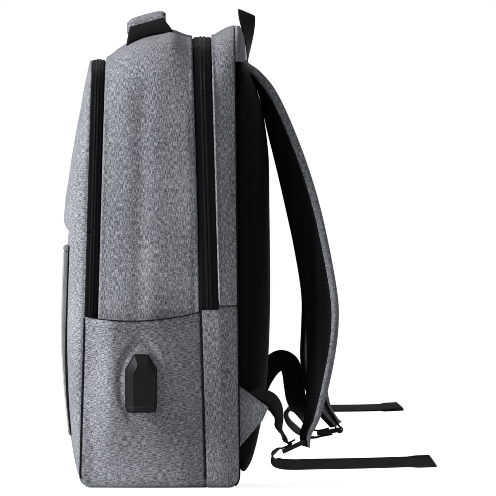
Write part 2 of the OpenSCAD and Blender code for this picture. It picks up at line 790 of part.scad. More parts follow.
handle_n = 20;
function top_height(x, y) =
    let (
        z = main_zip_h,
        a = front_zip_back[0] + front_lean * z,
        b = main_zip_front[0] + main_lean * z,
        t = (y - a) / (b - a),
        s = lerp(front_zip_back, main_zip_front, t) + [0, 0, main_bulge, crown_rise] * 4 * t * (1 - t)
    )
    s[3] - top_sag * pow(x / (s[2] - top_r), 2);

// Middle line of the handle at step i, as distance from the middle and height above the top
function handle_line(i) =
    let (a = 180 * i / handle_n)
    [-handle_span / 2 * sign(cos(a)) * pow(abs(cos(a)), 0.5), (handle_rise - handle_t) * pow(sin(a), 0.55)];

// One face of the handle at step i: below it for face -1, above it for face 1
function handle_row(i, face, grow_w, grow_t) =
    let (
        c = handle_line(i),
        way = i == 0 ? [0, 1] : i == handle_n ? [0, -1] : unit(handle_line(i + 1) - handle_line(i - 1)),
        q = c + face * (handle_t / 2 + grow_t) * [-way[1], way[0]],
        lift = c[1] / handle_rise,
        half = lerp(handle_w, grip_w, smooth(lift)) / 2 + grow_w
    )
    [for (d = steps(-half, half, 6))
        let (y = handle_y + d)
        [q[0], y, top_height(q[0], y) + fit + q[1] + d * tan(handle_tilt) * lift]];

function handle_ring(i, grow) =
    let (over = handle_row(i, 1, grow, grow))
    concat(handle_row(i, -1, grow, grow), [for (k = [len(over) - 1:-1:0]) over[k]]);

module carry_handle() color(black_cloth)
    sheet([for (i = [0:handle_n]) handle_row(i, 1, 0, 0)], [for (i = [0:handle_n]) handle_row(i, -1, 0, 0)]);

grip_from = 5;
module handle_grip() color(heather)
    sweep(concat(
        [for (i = [grip_from:handle_n - grip_from]) handle_ring(i, grip_t)],
        [for (i = [handle_n - grip_from:-1:grip_from]) handle_ring(i, fit)]
    ), closed = true);

// Hang loop that stands behind the yoke: flat against it at its legs, and turned edge on at its top

loop_n = 10;
loop_root = [0, back_seam_y(yoke_z) + yoke_depth + 3 * fit + web_t / 2, yoke_z - 1];
// Middle line of the loop, from its left leg at step -loop_n over the top to its right leg
function loop_point(i) =
    let (
        a = 90 * pow(1 - abs(i) / loop_n, 1.6),
        up = pow(sin(a), 0.6)
    )
    loop_root + [sign(i) * loop_span / 2 * sqrt(cos(a)), 1.6 * sin(180 * up) - 0.7 * up, loop_h * up];
// Direction across the webbing
function loop_across(i) =
    let (turn = 90 * pow((loop_point(i)[2] - loop_root[2]) / loop_h, 2.2))
    [-sign(i) * cos(turn), 0.92 * sin(turn), -0.39 * sin(turn)];
module hang_loop() color(black_cloth) {
    line = [for (i = [-loop_n:loop_n]) loop_point(i)];
    sweep([for (i = [0:2 * loop_n]) band_ring(line, i, loop_w, web_t, loop_across(i - loop_n))]);
}

// Shoulder straps: padded, hung from the seam between the yoke and the pad

strap_root = [0, back_seam_y(yoke_z) + yoke_depth + 2 * fit, yoke_z - strap_t * 0.4];
// Line that a strap hangs in, from its root to its tip, in shares of its reach back and of its drop
strap_line = strap_path([
    [0, 0], [0.141, 0.025], [0.296, 0.076], [0.451, 0.163], [0.662, 0.299], [0.845, 0.445],
    [0.986, 0.606], [1, 0.707], [0.944, 0.831], [0.873, 0.949], [0.817, 1]
], strap_tip_z);
// The left strap's tip is kicked back, as its webbing pulls on it
left_line = strap_path([
    [0, 0], [0.141, 0.026], [0.296, 0.078], [0.451, 0.166], [0.662, 0.305], [0.845, 0.454],
    [0.986, 0.618], [0.995, 0.72], [0.958, 0.818], [0.965, 0.896], [1.07, 0.96], [1.211, 1]
], strap_tip_z + left_lift);
function strap_path(shares, tip_z) =
    curve([for (p = shares) [p[0] * strap_reach, p[1] * (tip_z - strap_root[2])]], 3);

function strap_point(line, i) =
    let (s = i / (len(line) - 1))
    strap_root + [strap_x + strap_flare * smooth(s), line[i][0], line[i][1]];
function strap_width(s) =
    lerp(lerp(root_w, strap_w, smooth(s / 0.3)), tip_w, smooth((s - 0.62) / 0.38));
function strap_thick(s) = strap_t * (0.8 + 0.2 * smooth(s / 0.2)) * (1 - 0.4 * smooth((s - 0.8) / 0.2));
function strap_twist(s) = strap_turn * smooth(s / 0.5) * (1 - 0.4 * smooth((s - 0.7) / 0.3));

function strap_ring(line, i) =
    let (
        s = i / (len(line) - 1),
        way = along(line, i),
        out = [0, -way[1], way[0]],
        turn = strap_twist(s),
        side = [1, 0, 0] * cos(turn) + out * sin(turn),
        face = out * cos(turn) - [1, 0, 0] * sin(turn)
    )
    [for (a = [0:30:330])
        strap_point(line, i)
        + side * (strap_width(s) / 2 * sign(cos(a)) * pow(abs(cos(a)), 0.5))
        + face * (strap_thick(s) / 2 * sign(sin(a)) * pow(abs(sin(a)), 0.7))];

module strap(line) sweep([for (i = [0:len(line) - 1]) strap_ring(line, i)]);

module strap_right() color(black_cloth) strap(strap_line);
module strap_left() color(black_cloth) mirror([1, 0, 0]) strap(left_line);

// Ladder lock: two rails and three bars, hung by a webbing loop from the strap's tip

lock_drop = 9;
lock_w = web_w + 2 * lock_rail + 2;
function tip_way(line) = let (way = along(line, len(line) - 1)) [0, way[0], way[1]];
function lock_pin(line) = strap_point(line, len(line) - 1) + tip_way(line) * lock_drop;
function lock_angle(line) = line == strap_line ? 205 : 190;

module lock(line) {
    translate(lock_pin(line))
        rotate([lock_angle(line), 0, 0]) {
            for (side = [-1, 1])
                translate([side * (lock_w - lock_rail) / 2 - lock_rail / 2, -lock_bar / 2, -lock_t / 2])
                    cube([lock_rail, lock_l, lock_t]);
            rotate([0, 90, 0]) cylinder(d = lock_bar, h = lock_w - lock_rail, center = true);
            for (b = [lock_l / 2 - lock_bar, lock_l - 3 * lock_bar / 2])
                translate([-(lock_w - lock_rail) / 2, b, -lock_t / 2])
                    cube([lock_w - lock_rail, lock_bar, lock_t]);
        }
}

module lock_loop(line) {
    pin = lock_pin(line);
    up = -tip_way(line);
    out = [0, up[2], -up[1]];
    r = lock_bar / 2 + web_t / 2 + fit;
    top = lock_drop - fit;
    gap = web_t / 2 + 0.1;
    band(concat(
        [pin + up * top + out * gap, pin + up * (r + 1.5) + out * (gap + 0.6)],
        [for (a = [30:-30:-210]) pin + r * (out * cos(a) + up * sin(a))],
        [pin + up * (r + 1.5) - out * (gap + 0.6), pin + up * top - out * gap]
    ), web_w, web_t, [1, 0, 0], [1, 0, 0]);
}

module lock_right() color(black_plastic) lock(strap_line);
module lock_left() color(black_plastic) mirror([1, 0, 0]) lock(left_line);
module lock_loop_right() color(black_cloth) lock_loop(strap_line);
module lock_loop_left() color(black_cloth) mirror([1, 0, 0]) lock_loop(left_line);

// Anchor tabs sewn into the back seam

tab_top_z = 99;
tab_low_z = 39;
tab_reach = 28;
tab_tip_z = 77;
tab_x = back_w / 2 - pad_inset + 4;
module strap_tab_right() color(heather)
    translate([tab_x, 0, 0])
        rotate([90, 0, 90])
            linear_extrude(tab_t)
                polygon([
                    [back_seam_y(tab_top_z) + fit, tab_top_z],
                    [back_y + tab_reach, tab_tip_z + 4], [back_y + tab_reach, tab_tip_z - 8],
                    [back_seam_y(tab_low_z) + fit, tab_low_z]
                ]);
module strap_tab_left() mirror([1, 0, 0]) strap_tab_right();

// Webbing from the tabs to the locks, and the free tails. The routes' points lie where the webbing hangs.

tab_face = tab_x + tab_t + fit + web_t / 2;
web_x = strap_x + strap_flare;
// A place on a lock, b along it and c webbings above its face
function on_lock(line, b, c) =
    let (a = lock_angle(line))
    lock_pin(line) + b * [0, cos(a), sin(a)]
        + (lock_t / 2 + (c + 0.5) * web_t + (c + 1) * fit) * [0, sin(a), -cos(a)];
// A place behind the back
function behind(x, y, z) = [x, back_y + y, z];

anchor_right = curve([
    behind(tab_face, 17, 87), behind(tab_face, 24, 79), behind(tab_face + 0.5, 31, 68),
    behind(tab_face - 4, 36, 59), behind(web_x + 4, 42, 51),
    on_lock(strap_line, 14, 1.6), on_lock(strap_line, 7, 1.2)
], 3);
anchor_left = curve([
    behind(tab_face, 11, 80), behind(tab_face, 17, 92), behind(tab_face, 23, 106), behind(tab_face, 30, 119),
    behind(tab_face, 39, 126), behind(tab_face, 48, 123), behind(tab_face, 56, 112), behind(tab_face - 1, 61, 97),
    behind(tab_face - 7, 61, 82), behind(web_x + 6, 62, 67), behind(web_x, 66, 56),
    on_lock(left_line, 22, 0), on_lock(left_line, 10, 0)
], 3);
tail_right = curve([
    on_lock(strap_line, 12, 0), on_lock(strap_line, 20, 0), behind(web_x, 37, 37), behind(web_x, 32, 32),
    behind(web_x, 33, 26), behind(web_x, 39, 23), behind(web_x, 51, 22), behind(web_x, 75, 23),
    behind(web_x + 2, 75 + 0.45 * tail_run, 25), behind(web_x + 4, 75 + tail_run, 27)
], 3);
tail_left = curve([
    on_lock(left_line, 8, -3.26), on_lock(left_line, 16, -3.26), behind(web_x + 4, 71, 45),
    behind(web_x + 12, 60, 49), behind(web_x + 26, 51, 58), behind(web_x + 35, 47, 68),
    behind(web_x + 37, 52, 76), behind(web_x + 37, 75, 77), behind(web_x + 37, 75 + 0.6 * left_tail_run, 75),
    behind(web_x + 37, 75 + left_tail_run, 74)
], 3);
tail_tilt = [cos(30), 0, sin(30)];

// An anchor lies flat on its tab and turns over to lie across its lock
module anchor(p, start, stop)
    sweep([for (i = [0:len(p) - 1])
        let (turn = smooth((i / (len(p) - 1) - start) / (stop - start)))
        band_ring(p, i, web_w, web_t, unit(lerp(cross([1, 0, 0], along(p, i)), [1, 0, 0], turn)))]);

module anchor_web_right() color(black_cloth) anchor(anchor_right, 0.35, 0.9);
module anchor_web_left() color(black_cloth) mirror([1, 0, 0]) anchor(anchor_left, 0.52, 0.84);
module web_tail_right() color(black_cloth) band(tail_right, web_w, web_t, [1, 0, 0], tail_tilt);
module web_tail_left() color(black_cloth)
    mirror([1, 0, 0]) band(tail_left, web_w, web_t, [1, 0, 0], tail_tilt);

base_panel();
front_panel();
front_flap();
front_pocket_wall();
main_gusset();
side_wall_right();
side_wall_left();
rear_gusset();
rear_wall_right();
rear_wall_left();
side_pocket_right();
side_pocket_left();
back_board();
back_pad();
back_yoke();
laptop_sleeve();
front_zip_flap_half();
front_zip_lower_half();
front_zip_body_half();
main_zip_front_half();
main_zip_rear_half();
front_slider();
front_pull();
main_slider_lower();
main_pull_lower();
main_slider_upper();
main_pull_upper();
solar_backing();
solar_cells();
solar_cover();
solar_binding();
solar_regulator();
usb_flange();
usb_hood();
usb_shell();
usb_tongue();
carry_handle();
handle_grip();
hang_loop();
strap_right();
strap_left();
lock_loop_right();
lock_loop_left();
lock_right();
lock_left();
strap_tab_right();
strap_tab_left();
anchor_web_right();
anchor_web_left();
web_tail_right();
web_tail_left();
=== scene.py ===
import bmesh
import bpy
import numpy as np
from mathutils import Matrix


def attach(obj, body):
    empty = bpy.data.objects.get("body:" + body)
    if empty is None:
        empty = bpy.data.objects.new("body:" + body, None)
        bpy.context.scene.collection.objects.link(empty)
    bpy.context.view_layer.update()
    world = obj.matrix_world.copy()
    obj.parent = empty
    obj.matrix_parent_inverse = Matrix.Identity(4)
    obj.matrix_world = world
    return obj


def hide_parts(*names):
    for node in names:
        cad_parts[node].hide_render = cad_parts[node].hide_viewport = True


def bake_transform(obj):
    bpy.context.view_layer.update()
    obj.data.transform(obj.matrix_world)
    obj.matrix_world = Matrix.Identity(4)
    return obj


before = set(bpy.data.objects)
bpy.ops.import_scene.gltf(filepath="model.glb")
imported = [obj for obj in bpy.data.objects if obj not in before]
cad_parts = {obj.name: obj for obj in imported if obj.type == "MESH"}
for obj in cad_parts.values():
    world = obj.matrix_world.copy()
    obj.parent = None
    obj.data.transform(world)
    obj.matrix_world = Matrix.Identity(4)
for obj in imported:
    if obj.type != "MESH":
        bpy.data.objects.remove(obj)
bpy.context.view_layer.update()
scene = bpy.context.scene
scene.cycles.filter_width = 0.9  # pixels: a narrow filter keeps the weave crisp
MM = 0.001

# Studio: a long lens square on to the right side, from a hand above the middle of the pack, on a pale sweep.
# One large soft lamp stands ahead of the pack and a weak one over it, so cloth that turns rearwards goes
# darker.
aim = np.array([150, 83.1, 231.8]) * MM
view_height, distance, rise = 479.1 * MM, 20.0, np.radians(0.3)
camera = bpy.data.objects.new("camera", bpy.data.cameras.new("camera"))
camera.data.lens = camera.data.sensor_width * distance / view_height
camera.location = aim + distance * np.array([np.cos(rise), 0, np.sin(rise)])
camera.rotation_euler = (np.pi / 2 - rise, 0, np.pi / 2)
camera.data.clip_end = 60
scene.collection.objects.link(camera)
scene.camera = camera
scene.view_settings.view_transform = "Standard"


def linear(code, gain=1.0):
    """sRGB hex to linear RGBA times gain: c / 12.92 below 0.04045, else ((c + 0.055) / 1.055) to the power
    2.4."""
    c = np.array([int(code[i:i + 2], 16) for i in (1, 3, 5)]) / 255
    return (*(gain * np.where(c < 0.04045, c / 12.92, ((c + 0.055) / 1.055) ** 2.4)), 1)


def add(tree, kind, links=None, into=None, tones=(), **settings):
    """One node: settings go to its attributes, links maps a socket's name or number to a node, a socket or a
    value. A node stands for its first output. That output goes into a socket, and tones colour the stops of a
    ramp."""
    node = tree.nodes.new("ShaderNode" + kind)
    for name, value in settings.items():
        setattr(node, name, value)
    for name, source in (links or {}).items():
        source = source.outputs[0] if isinstance(source, bpy.types.Node) else source
        if isinstance(source, bpy.types.NodeSocket):
            tree.links.new(source, node.inputs[name])
        else:
            node.inputs[name].default_value = source
    for stop, tone in zip(node.color_ramp.elements if tones else (), tones):
        stop.color = tone
    if into is not None:
        tree.links.new(node.outputs[0], into)
    return node


def blank(name, values, space="Object"):
    """A material with its Principled inputs set from values: gives it, its tree, those inputs, and the place
    that its patterns read, in Object or UV space."""
    material = bpy.data.materials.new(name)
    material.use_nodes = True
    tree = material.node_tree
    shade = tree.nodes["Principled BSDF"].inputs
    for key, value in values.items():
        shade[key].default_value = value
    return material, tree, shade, add(tree, "TexCoord").outputs[space]


def seen_white(tree):
    """A node that is 1 on rays from the camera, a gloss or a clear film, so that what they see is plain
    white."""
    path = add(tree, "LightPath").outputs
    near = add(tree, "Math", {0: path["Is Camera Ray"], 1: path["Is Glossy Ray"]}, operation="ADD")
    return add(tree, "Math", {0: near, 1: path["Is Transmission Ray"]}, operation="ADD", use_clamp=True)


def lamp(name, place, size, watts):
    """A square area lamp at place, turned towards the middle of the pack."""
    light = bpy.data.lights.new(name, "AREA")
    light.energy, light.size = watts, size
    holder = bpy.data.objects.new(name, light)
    holder.location = place
    way = np.array([0, 0, 0.23]) - np.array(place)
    holder.rotation_euler = (np.arccos(-way[2] / np.linalg.norm(way)), 0,
                             np.arctan2(way[1], way[0]) - np.pi / 2)
    scene.collection.objects.link(holder)


lamp("front_lamp", (0.62, -1.5, 0.95), 0.8, 42)
lamp("over_lamp", (0.7, -0.2, 1.8), 1.2, 2)
world = bpy.data.worlds.new("white_room")
world.use_nodes = True
scene.world = world
tree = world.node_tree
sky = tree.nodes["Background"].inputs
sky[0].default_value = (1, 1, 1, 1)
add(tree, "MapRange", {0: seen_white(tree), 3: 0.12, 4: 1.0}, into=sky[1])

floor_mesh = bpy.data.meshes.new("floor")
floor_mesh.from_pydata([(-4, -4, 0), (4, -4, 0), (4, 4, 0), (-4, 4, 0)], [], [(0, 1, 2, 3)])
floor = bpy.data.objects.new("floor", floor_mesh)
floor.location.z = -0.4 * MM
scene.collection.objects.link(floor)
paper, tree, shade, _ = blank("white_paper_sweep", {"Base Color": linear("#f4f4f4"), "Roughness": 0.9,
                                                    "Emission Color": (1, 1, 1, 1)})
add(tree, "Math", {0: seen_white(tree), 1: 0.85}, into=shade["Emission Strength"], operation="MULTIPLY")
floor_mesh.materials.append(paper)

# Main gusset: one broad strip of heather polyester that runs up the right side, over the top and down the
# left, sewn to the two zips. It is filled out by what is inside, with one soft dent down the middle of each
# side.


def ramp(t, a, b):
    """Smooth step of t from 0 at a to 1 at b: c * c * (3 - 2 c) of the clamped share."""
    c = np.clip((t - a) / (b - a), 0, 1)
    return c * c * (3 - 2 * c)


def bell(x, wide):
    """A smooth hump: 1 at x = 0, falling away over wide to each side as exp(-(x / wide)^2)."""
    return np.exp(-(x / wide) ** 2)


def grid(x, y, z):
    """Points from three coordinates, each spread to the size of the largest."""
    return np.stack(np.broadcast_arrays(x, y, z), -1)


def unit(v):
    """Vectors scaled to length 1."""
    return v / np.maximum(np.linalg.norm(v, axis=-1, keepdims=True), 1e-12)


def ripple(u, v, seed, length):
    """Slow folds in cloth: six sine waves of about the given length, their turns and phases from the seed."""
    rng = np.random.default_rng(seed)
    turn, phase = rng.uniform(0, np.pi, 6), rng.uniform(0, 2 * np.pi, 6)
    pitch = length * rng.uniform(0.6, 1.6, 6)
    waves = [np.sin((u * np.cos(a) + v * np.sin(a)) * 2 * np.pi / p + f)
             for a, p, f in zip(turn, pitch, phase)]
    return sum(waves) / 6


def outward(points, way=None):
    """Unit normals of a grid, crossed from its two slopes and turned away from the heart of the pack, or to
    the side that way points to."""
    out = unit(np.cross(np.gradient(points, axis=1), np.gradient(points, axis=0)))
    return out * np.sign((out * (points - heart if way is None else way)).sum(-1, keepdims=True) + 1e-9)


def lengths(points, axis=0):
    """Distance along a line of points, or along a grid from its first row or column."""
    step = np.linalg.norm(np.diff(points, axis=axis), axis=-1)
    return np.cumsum(np.concatenate([0 * np.take(step, [0], axis), step], axis), axis)


def placed(name, mesh, material):
    """An object at the origin for a mesh, linked to the scene, with one material."""
    mesh.materials.append(material)
    piece = bpy.data.objects.new(name, mesh)
    scene.collection.objects.link(piece)
    return piece


def surface(name, points, material, ring=False, inside=None, skin=0.0):
    """A mesh through a grid of points in millimetres, with a UV map in metres of cloth. ring closes its
    columns and caps its ends; its faces turn away from inside, or from its own middle line; skin is laid on
    the inner side."""
    points = np.asarray(points, float) * MM
    uv = np.stack([lengths(points, 0), lengths(points, 1)], -1)
    if ring:
        points = np.concatenate([points, points[:, :1]], 1)
        girth = lengths(points, 1)
        uv = np.stack([np.repeat(uv[:, :1, 0], girth.shape[1], 1), girth], -1)
    rows, cols = points.shape[:2]
    i, j = np.meshgrid(np.arange(rows - 1), np.arange(cols - 1), indexing="ij")
    corner = (i * cols + j).ravel()
    quads = np.stack([corner, corner + 1, corner + cols + 1, corner + cols], -1)
    flat = points.reshape(-1, 3)
    a, b, c, d = (flat[quads[:, k]] for k in range(4))
    facing = np.cross(c - a, d - b)
    centre = (a + b + c + d) / 4
    away = centre - (np.repeat(points.mean(1), cols - 1, 0)[:len(centre)] if inside is None
                     else np.asarray(inside) * MM)
    if (facing * away).sum() < 0:
        quads = quads[:, ::-1]
    mesh = bpy.data.meshes.new(name)
    mesh.vertices.add(len(flat))
    mesh.vertices.foreach_set("co", flat.astype(np.float32).ravel())
    mesh.loops.add(quads.size)
    mesh.loops.foreach_set("vertex_index", quads.astype(np.int32).ravel())
    mesh.polygons.add(len(quads))
    mesh.polygons.foreach_set("loop_start", np.arange(0, quads.size, 4, dtype=np.int32))
    mesh.polygons.foreach_set("use_smooth", np.ones(len(quads), bool))
    layer = mesh.uv_layers.new(name="cloth")
    layer.data.foreach_set("uv", uv.reshape(-1, 2)[quads.ravel()].astype(np.float32).ravel())
    mesh.update(calc_edges=True)
    piece = placed(name, mesh, material)
    if ring:
        work = bmesh.new()
        work.from_mesh(mesh)
        bmesh.ops.remove_doubles(work, verts=work.verts, dist=1e-7)
        bmesh.ops.holes_fill(work, edges=[e for e in work.edges if e.is_boundary])
        bmesh.ops.recalc_face_normals(work, faces=work.faces)
        work.to_mesh(mesh)
        work.free()
    if skin:
        wall = piece.modifiers.new("cloth_thickness", "SOLIDIFY")
        wall.thickness, wall.offset = skin * MM, -1
    return piece


def closed(name, face, seat, material):
    """A closed pad between a face and a seat, two grids of the same size."""
    return surface(name, np.concatenate([face, seat[:, ::-1]], 1), material, ring=True)


def dress(piece, body, slot, *nodes):
    """Rides a finished piece on a body and hides the solids it stands for; slot, its finish, is not used."""
    if nodes:
        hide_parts(*nodes)
    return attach(piece, body)


def cloth_nodes(name, turn=0):
    """Heather polyester: dyed and undyed yarns woven plain, so short light and dark dashes run both ways. A
    thread is 0.5 mm wide and a dash nine threads long; those along the warp show most. Matte, with a faint
    nap."""
    material, tree, shade, cloth = blank(name, {"Roughness": 0.92, "Sheen Weight": 0.12,
                                                "Sheen Roughness": 0.5, "Specular IOR Level": 0.25}, "UV")
    place = add(tree, "Mapping", {0: cloth, 2: (0, 0, np.radians(turn))})
    fine, run = 1 / (0.5 * MM), 1 / (9 * 0.5 * MM)
    ways = [add(tree, "Mapping", {0: place, 3: (*scale, 1)})
            for scale in ((run, fine), (fine, run), (0.8 * fine, 0.8 * fine))]
    warp, weft, spot = (add(tree, "TexNoise", {"Vector": way, "Scale": 1.0, "Detail": 1.0},
                            noise_dimensions="2D")
                        for way in ways)
    both = add(tree, "Math", {0: weft, 1: 1.9, 2: warp}, operation="MULTIPLY_ADD")
    mixed = add(tree, "Math", {0: spot, 1: 0.7, 2: both}, operation="MULTIPLY_ADD")
    broad = add(tree, "TexNoise", {"Vector": place, "Scale": 14.0, "Detail": 2.0}, noise_dimensions="2D")
    toned = add(tree, "Math", {0: broad, 1: 0.35, 2: mixed}, operation="MULTIPLY_ADD")
    share = add(tree, "MapRange", {0: toned, 1: 1.6, 2: 2.35})
    colour = add(tree, "ValToRGB", {0: share}, shade["Base Color"], (linear("#474a51"), linear("#b4b7bc")))
    colour.color_ramp.elements.new(0.5).color = linear("#7c7f86")
    high = add(tree, "Math", {0: warp, 1: weft}, operation="MULTIPLY")
    add(tree, "Bump", {"Height": high, "Strength": 0.55, "Distance": 0.8 * MM}, shade["Normal"])
    return material


heather, heather_across = cloth_nodes("heather_polyester"), cloth_nodes("heather_polyester_cut_across", 90)

# Radius of the top's corners, sag of the top, radius of the foot, cloth thickness, gap between pieces. Then
# the body's stations: Y at the base, lean of Y with height, half width, height. All in millimetres, as in the
# solids.
TOP_R, TOP_SAG, BASE_R, CLOTH, CLEAR = 52, 8, 12, 1.4, 0.3
front_edge = np.array([-79.5, 0.028, 138, 414])
front_zip_mid, front_zip_back = front_edge + [6, 0, 0, 0], front_edge + [12, 0, 0, 0]
main_zip_front = np.array([42.7, -0.029, 146, 436])
main_zip_mid, main_zip_back = main_zip_front + [8.5, 0, 0, 0], main_zip_front + [17, 0, 0, 0]
back_edge = np.array([75, -0.011, 140, 448])
heart = (0, 0, 220)
HANDS = {"right": np.array([1, 1, 1]), "left": np.array([-1, 1, 1])}


def sewn(name, points, node, material=heather, slot="heather_cloth", skin=CLOTH, body="pack"):
    """A sheet of cloth that faces away from the heart of the pack, and rides on a body in place of a
    solid."""
    return dress(surface(name, points, material, inside=heart, skin=skin), body, slot, node)


def between(a, b, t, swell_w, swell_h):
    """Stations from line a to line b at shares t, swelling in width and height by 4 t (1 - t)."""
    s = 4 * t * (1 - t)
    return a + (b - a) * t[:, None] + np.stack([0 * s, 0 * s, swell_w * s, swell_h * s], 1)


def arch(station, z0, sides=26, corner=14, top=18):
    """Upright U over each station (y at the base, lean, half width, height): up the side, round a corner of
    radius 52 and over a top that sags 8 mm to its corners; Y leans with height. Gives a grid of points."""
    y0, lean, w, h = (station[:, k:k + 1] for k in range(4))
    shoulder = h - TOP_SAG - TOP_R
    side = np.linspace(0, 1, sides, endpoint=False)[None]
    turn = np.linspace(0, np.pi / 2, corner, endpoint=False)[None]
    k = np.linspace(1, 0, top)[None]
    x = np.concatenate([w + 0 * side, w - TOP_R + TOP_R * np.cos(turn), (w - TOP_R) * k], 1)
    z = np.concatenate([z0 + (shoulder - z0) * side, shoulder + TOP_R * np.sin(turn), h - TOP_SAG * k * k], 1)
    x, z = np.concatenate([x, -x[:, -2::-1]], 1), np.concatenate([z, z[:, -2::-1]], 1)
    return grid(x, y0 + lean * z, z)


def edge_steps(n, tight):
    """Shares from 0 to 1 that crowd towards both ends: a blend of even and cosine steps."""
    even = np.linspace(0, 1, n)
    return (1 - tight) * even + tight * (1 - np.cos(np.pi * even)) / 2


t = edge_steps(64, 0.8)
points = arch(between(front_zip_back, main_zip_front, t, 8, 15), 150)
out = outward(points)
x, y, z = points[..., 0], points[..., 1], points[..., 2]
on_side = ramp(z, 150, 175) * (1 - ramp(z, 365, 425))
dent = -2.6 * bell(y + 20 - 0.02 * (z - 270), 9) * on_side
fold = 1.2 * ripple(y, z, 3, 95) * ramp(z, 160, 230)
hollow = 12 - 8 * t - 32 * t * (1 - t)
full = (hollow * ramp(t, 0.4, 0.6) * ramp(t, 1, 0.9))[:, None] * (1 - ramp(z, 350, 410))
sag = -6 * ramp(z, 270, 165) * (ramp(t, 0.4, 0.96) * (1 - 0.6 * ramp(t, 0.95, 1)))[:, None]
crown = 2.2 * bell(y - 9, 8) * ramp(z, 415, 432)
edge = np.minimum(t, 1 - t)[:, None] * 105
tuck = 0.9 * bell(edge - 3.2, 2.2) - 2.2 * bell(edge, 1.1)
points = points + out * (dent + full + sag + crown + fold * np.clip(edge / 14, 0, 1) + tuck)[..., None]
sewn("main_gusset_cloth", points, "main_gusset")

# Lower side walls: the same cloth, sewn below the gusset and rolled under at the base. The slip pockets cover
# them, so only the strip inside each pocket's mouth and the roll at the foot are seen.


def foot(station, z1, rows=24):
    """Right lower wall over each station: a quarter roll of radius 12 from the base, then straight up to
    z1."""
    y0, lean, w, _ = (station[:, k:k + 1] for k in range(4))
    a = np.linspace(0, np.pi / 2, 9)[None]
    rise = np.linspace(BASE_R, z1, rows)[None, 1:]
    x = np.concatenate([w - BASE_R + BASE_R * np.sin(a), w + 0 * rise], 1)
    z = np.concatenate([BASE_R - BASE_R * np.cos(a) + 0 * w, rise + 0 * w], 1)
    return grid(x, y0 + lean * z, z)


def turned_under(points, high):
    """0 from the height high upwards, and a quarter circle to 1 at the base."""
    return 1 - np.sqrt(1 - (1 - np.clip(points[..., 2] / high, 0, 1)) ** 2)


def toe(points, share):
    """Rounds the lower front corner as seen from the side: the first stations draw back 9 mm over the lowest
    16."""
    return points + (9 * turned_under(points, 16) * ramp(share, 0.14, 0))[..., None] * [0, 1, 0]


def heel(points, share):
    """Rounds the lower rear corner in the same way: the last stations come forward 8 mm over the lowest
    13."""
    return points - (8 * turned_under(points, 13) * ramp(share, 0.6, 1))[..., None] * [0, 1, 0]


side_line = np.concatenate([front_edge[None],
                            between(front_zip_back, main_zip_front, np.linspace(0, 1, 30), 8, 15)])
share = (side_line[:, :1] - front_edge[0]) / (main_zip_front[0] - front_edge[0])
points = toe(foot(side_line, 156), share) - ramp(share, 0.6, 1)[..., None] * [4.5, 0, 0]
for side, turn in HANDS.items():
    sewn("side_wall_cloth_" + side, points * turn, "side_wall_" + side)

# Slip pockets: a flat panel that stands off each side wall, drawn in along its seams and round its outlet,
# and rolled under at the foot. The mouth has a turned hem with a row of black stitches, and dips in the
# middle.


def along(at, step, rows):
    """Rows read at the places at, between the places step at which they are given."""
    return np.stack([np.interp(at, step, column) for column in np.transpose(rows)], 1)


def stitch_row(name, line, up, out, pitch, material, body="pack", slot="webbing", length=0.62, wide=0.55,
               high=0.3):
    """Sewing thread along a line of points (mm): one low six-sided bar for each stitch, length of the pitch
    long, its middle raised by high above the cloth. up lies along the cloth across the row, out stands off
    it."""
    step = lengths(line)
    count = max(2, int(step[-1] / pitch))
    at = (np.arange(count) + 0.5) * step[-1] / count
    centre, up, out = (along(at, step, np.broadcast_to(a, line.shape)) for a in (line, up, out))
    way = unit(along(at, step, np.gradient(line, step + 1e-9 * np.arange(len(step)), axis=0)))
    shape = np.array([(-1, 0, -0.5), (-0.55, 1, 0), (0.55, 1, 0), (1, 0, -0.5), (0.55, -1, 0), (-0.55, -1, 0),
                      (-0.6, 0, 1), (0.6, 0, 1)])
    local = (shape * [pitch * length / 2, wide / 2, high])[None]
    points = (centre[:, None] + local[..., :1] * way[:, None] + local[..., 1:2] * up[:, None]
              + local[..., 2:] * out[:, None])
    faces = [(0, 6, 1), (1, 6, 7, 2), (2, 7, 3), (3, 7, 4), (4, 7, 6, 5), (5, 6, 0)]
    mesh = bpy.data.meshes.new(name)
    mesh.from_pydata((points * MM).reshape(-1, 3).tolist(), [],
                     [tuple(k + len(shape) * n for k in face) for n in range(count) for face in faces])
    return dress(placed(name, mesh, material), body, slot)


def thread_nodes(name, colour):
    """Bonded polyester sewing thread: twisted, faintly glossy, one dark colour with a fine two-ply twist in
    it."""
    material, tree, shade, place = blank(name, {"Roughness": 0.6})
    ply = add(tree, "TexNoise", {"Vector": place, "Scale": 2500.0, "Detail": 1.0})
    add(tree, "ValToRGB", {0: ply}, shade["Base Color"], (linear(colour, 0.6), linear(colour, 1.5)))
    return material


black_thread = thread_nodes("black_polyester_thread", "#1c1d20")
grey_thread = thread_nodes("grey_polyester_thread", "#6a6d70")
POCKET_X, OUTLET = 160, np.array([0, -20, 101])


def rolled(z):
    """How far a wall has turned under at height z: R - sqrt(R^2 - (R - z)^2) below the top of the roll."""
    return BASE_R - np.sqrt(np.maximum(0, BASE_R ** 2 - np.maximum(0, BASE_R - z) ** 2))


def pocket_face(t, z, w, y0, lean):
    """Outside of the pocket at share t from its front seam and height z: drawn in to the wall over a quarter
    of its width at each seam, flat between them at X = 160, and falling away a little towards the rear."""
    lift = ramp(np.minimum(t, 1 - t), 0, 0.25) * ramp(z, 6, 74)
    fall = 1.2 * bell(t - 0.27, 0.13) - 12 * ramp(t, 0.54, 0.98)
    x = (w + 2.3) * (1 - lift) + POCKET_X * lift + fall * lift - rolled(z) - 5 * ramp(t, 0.8, 1)
    return grid(x, y0 + lean * z, z)


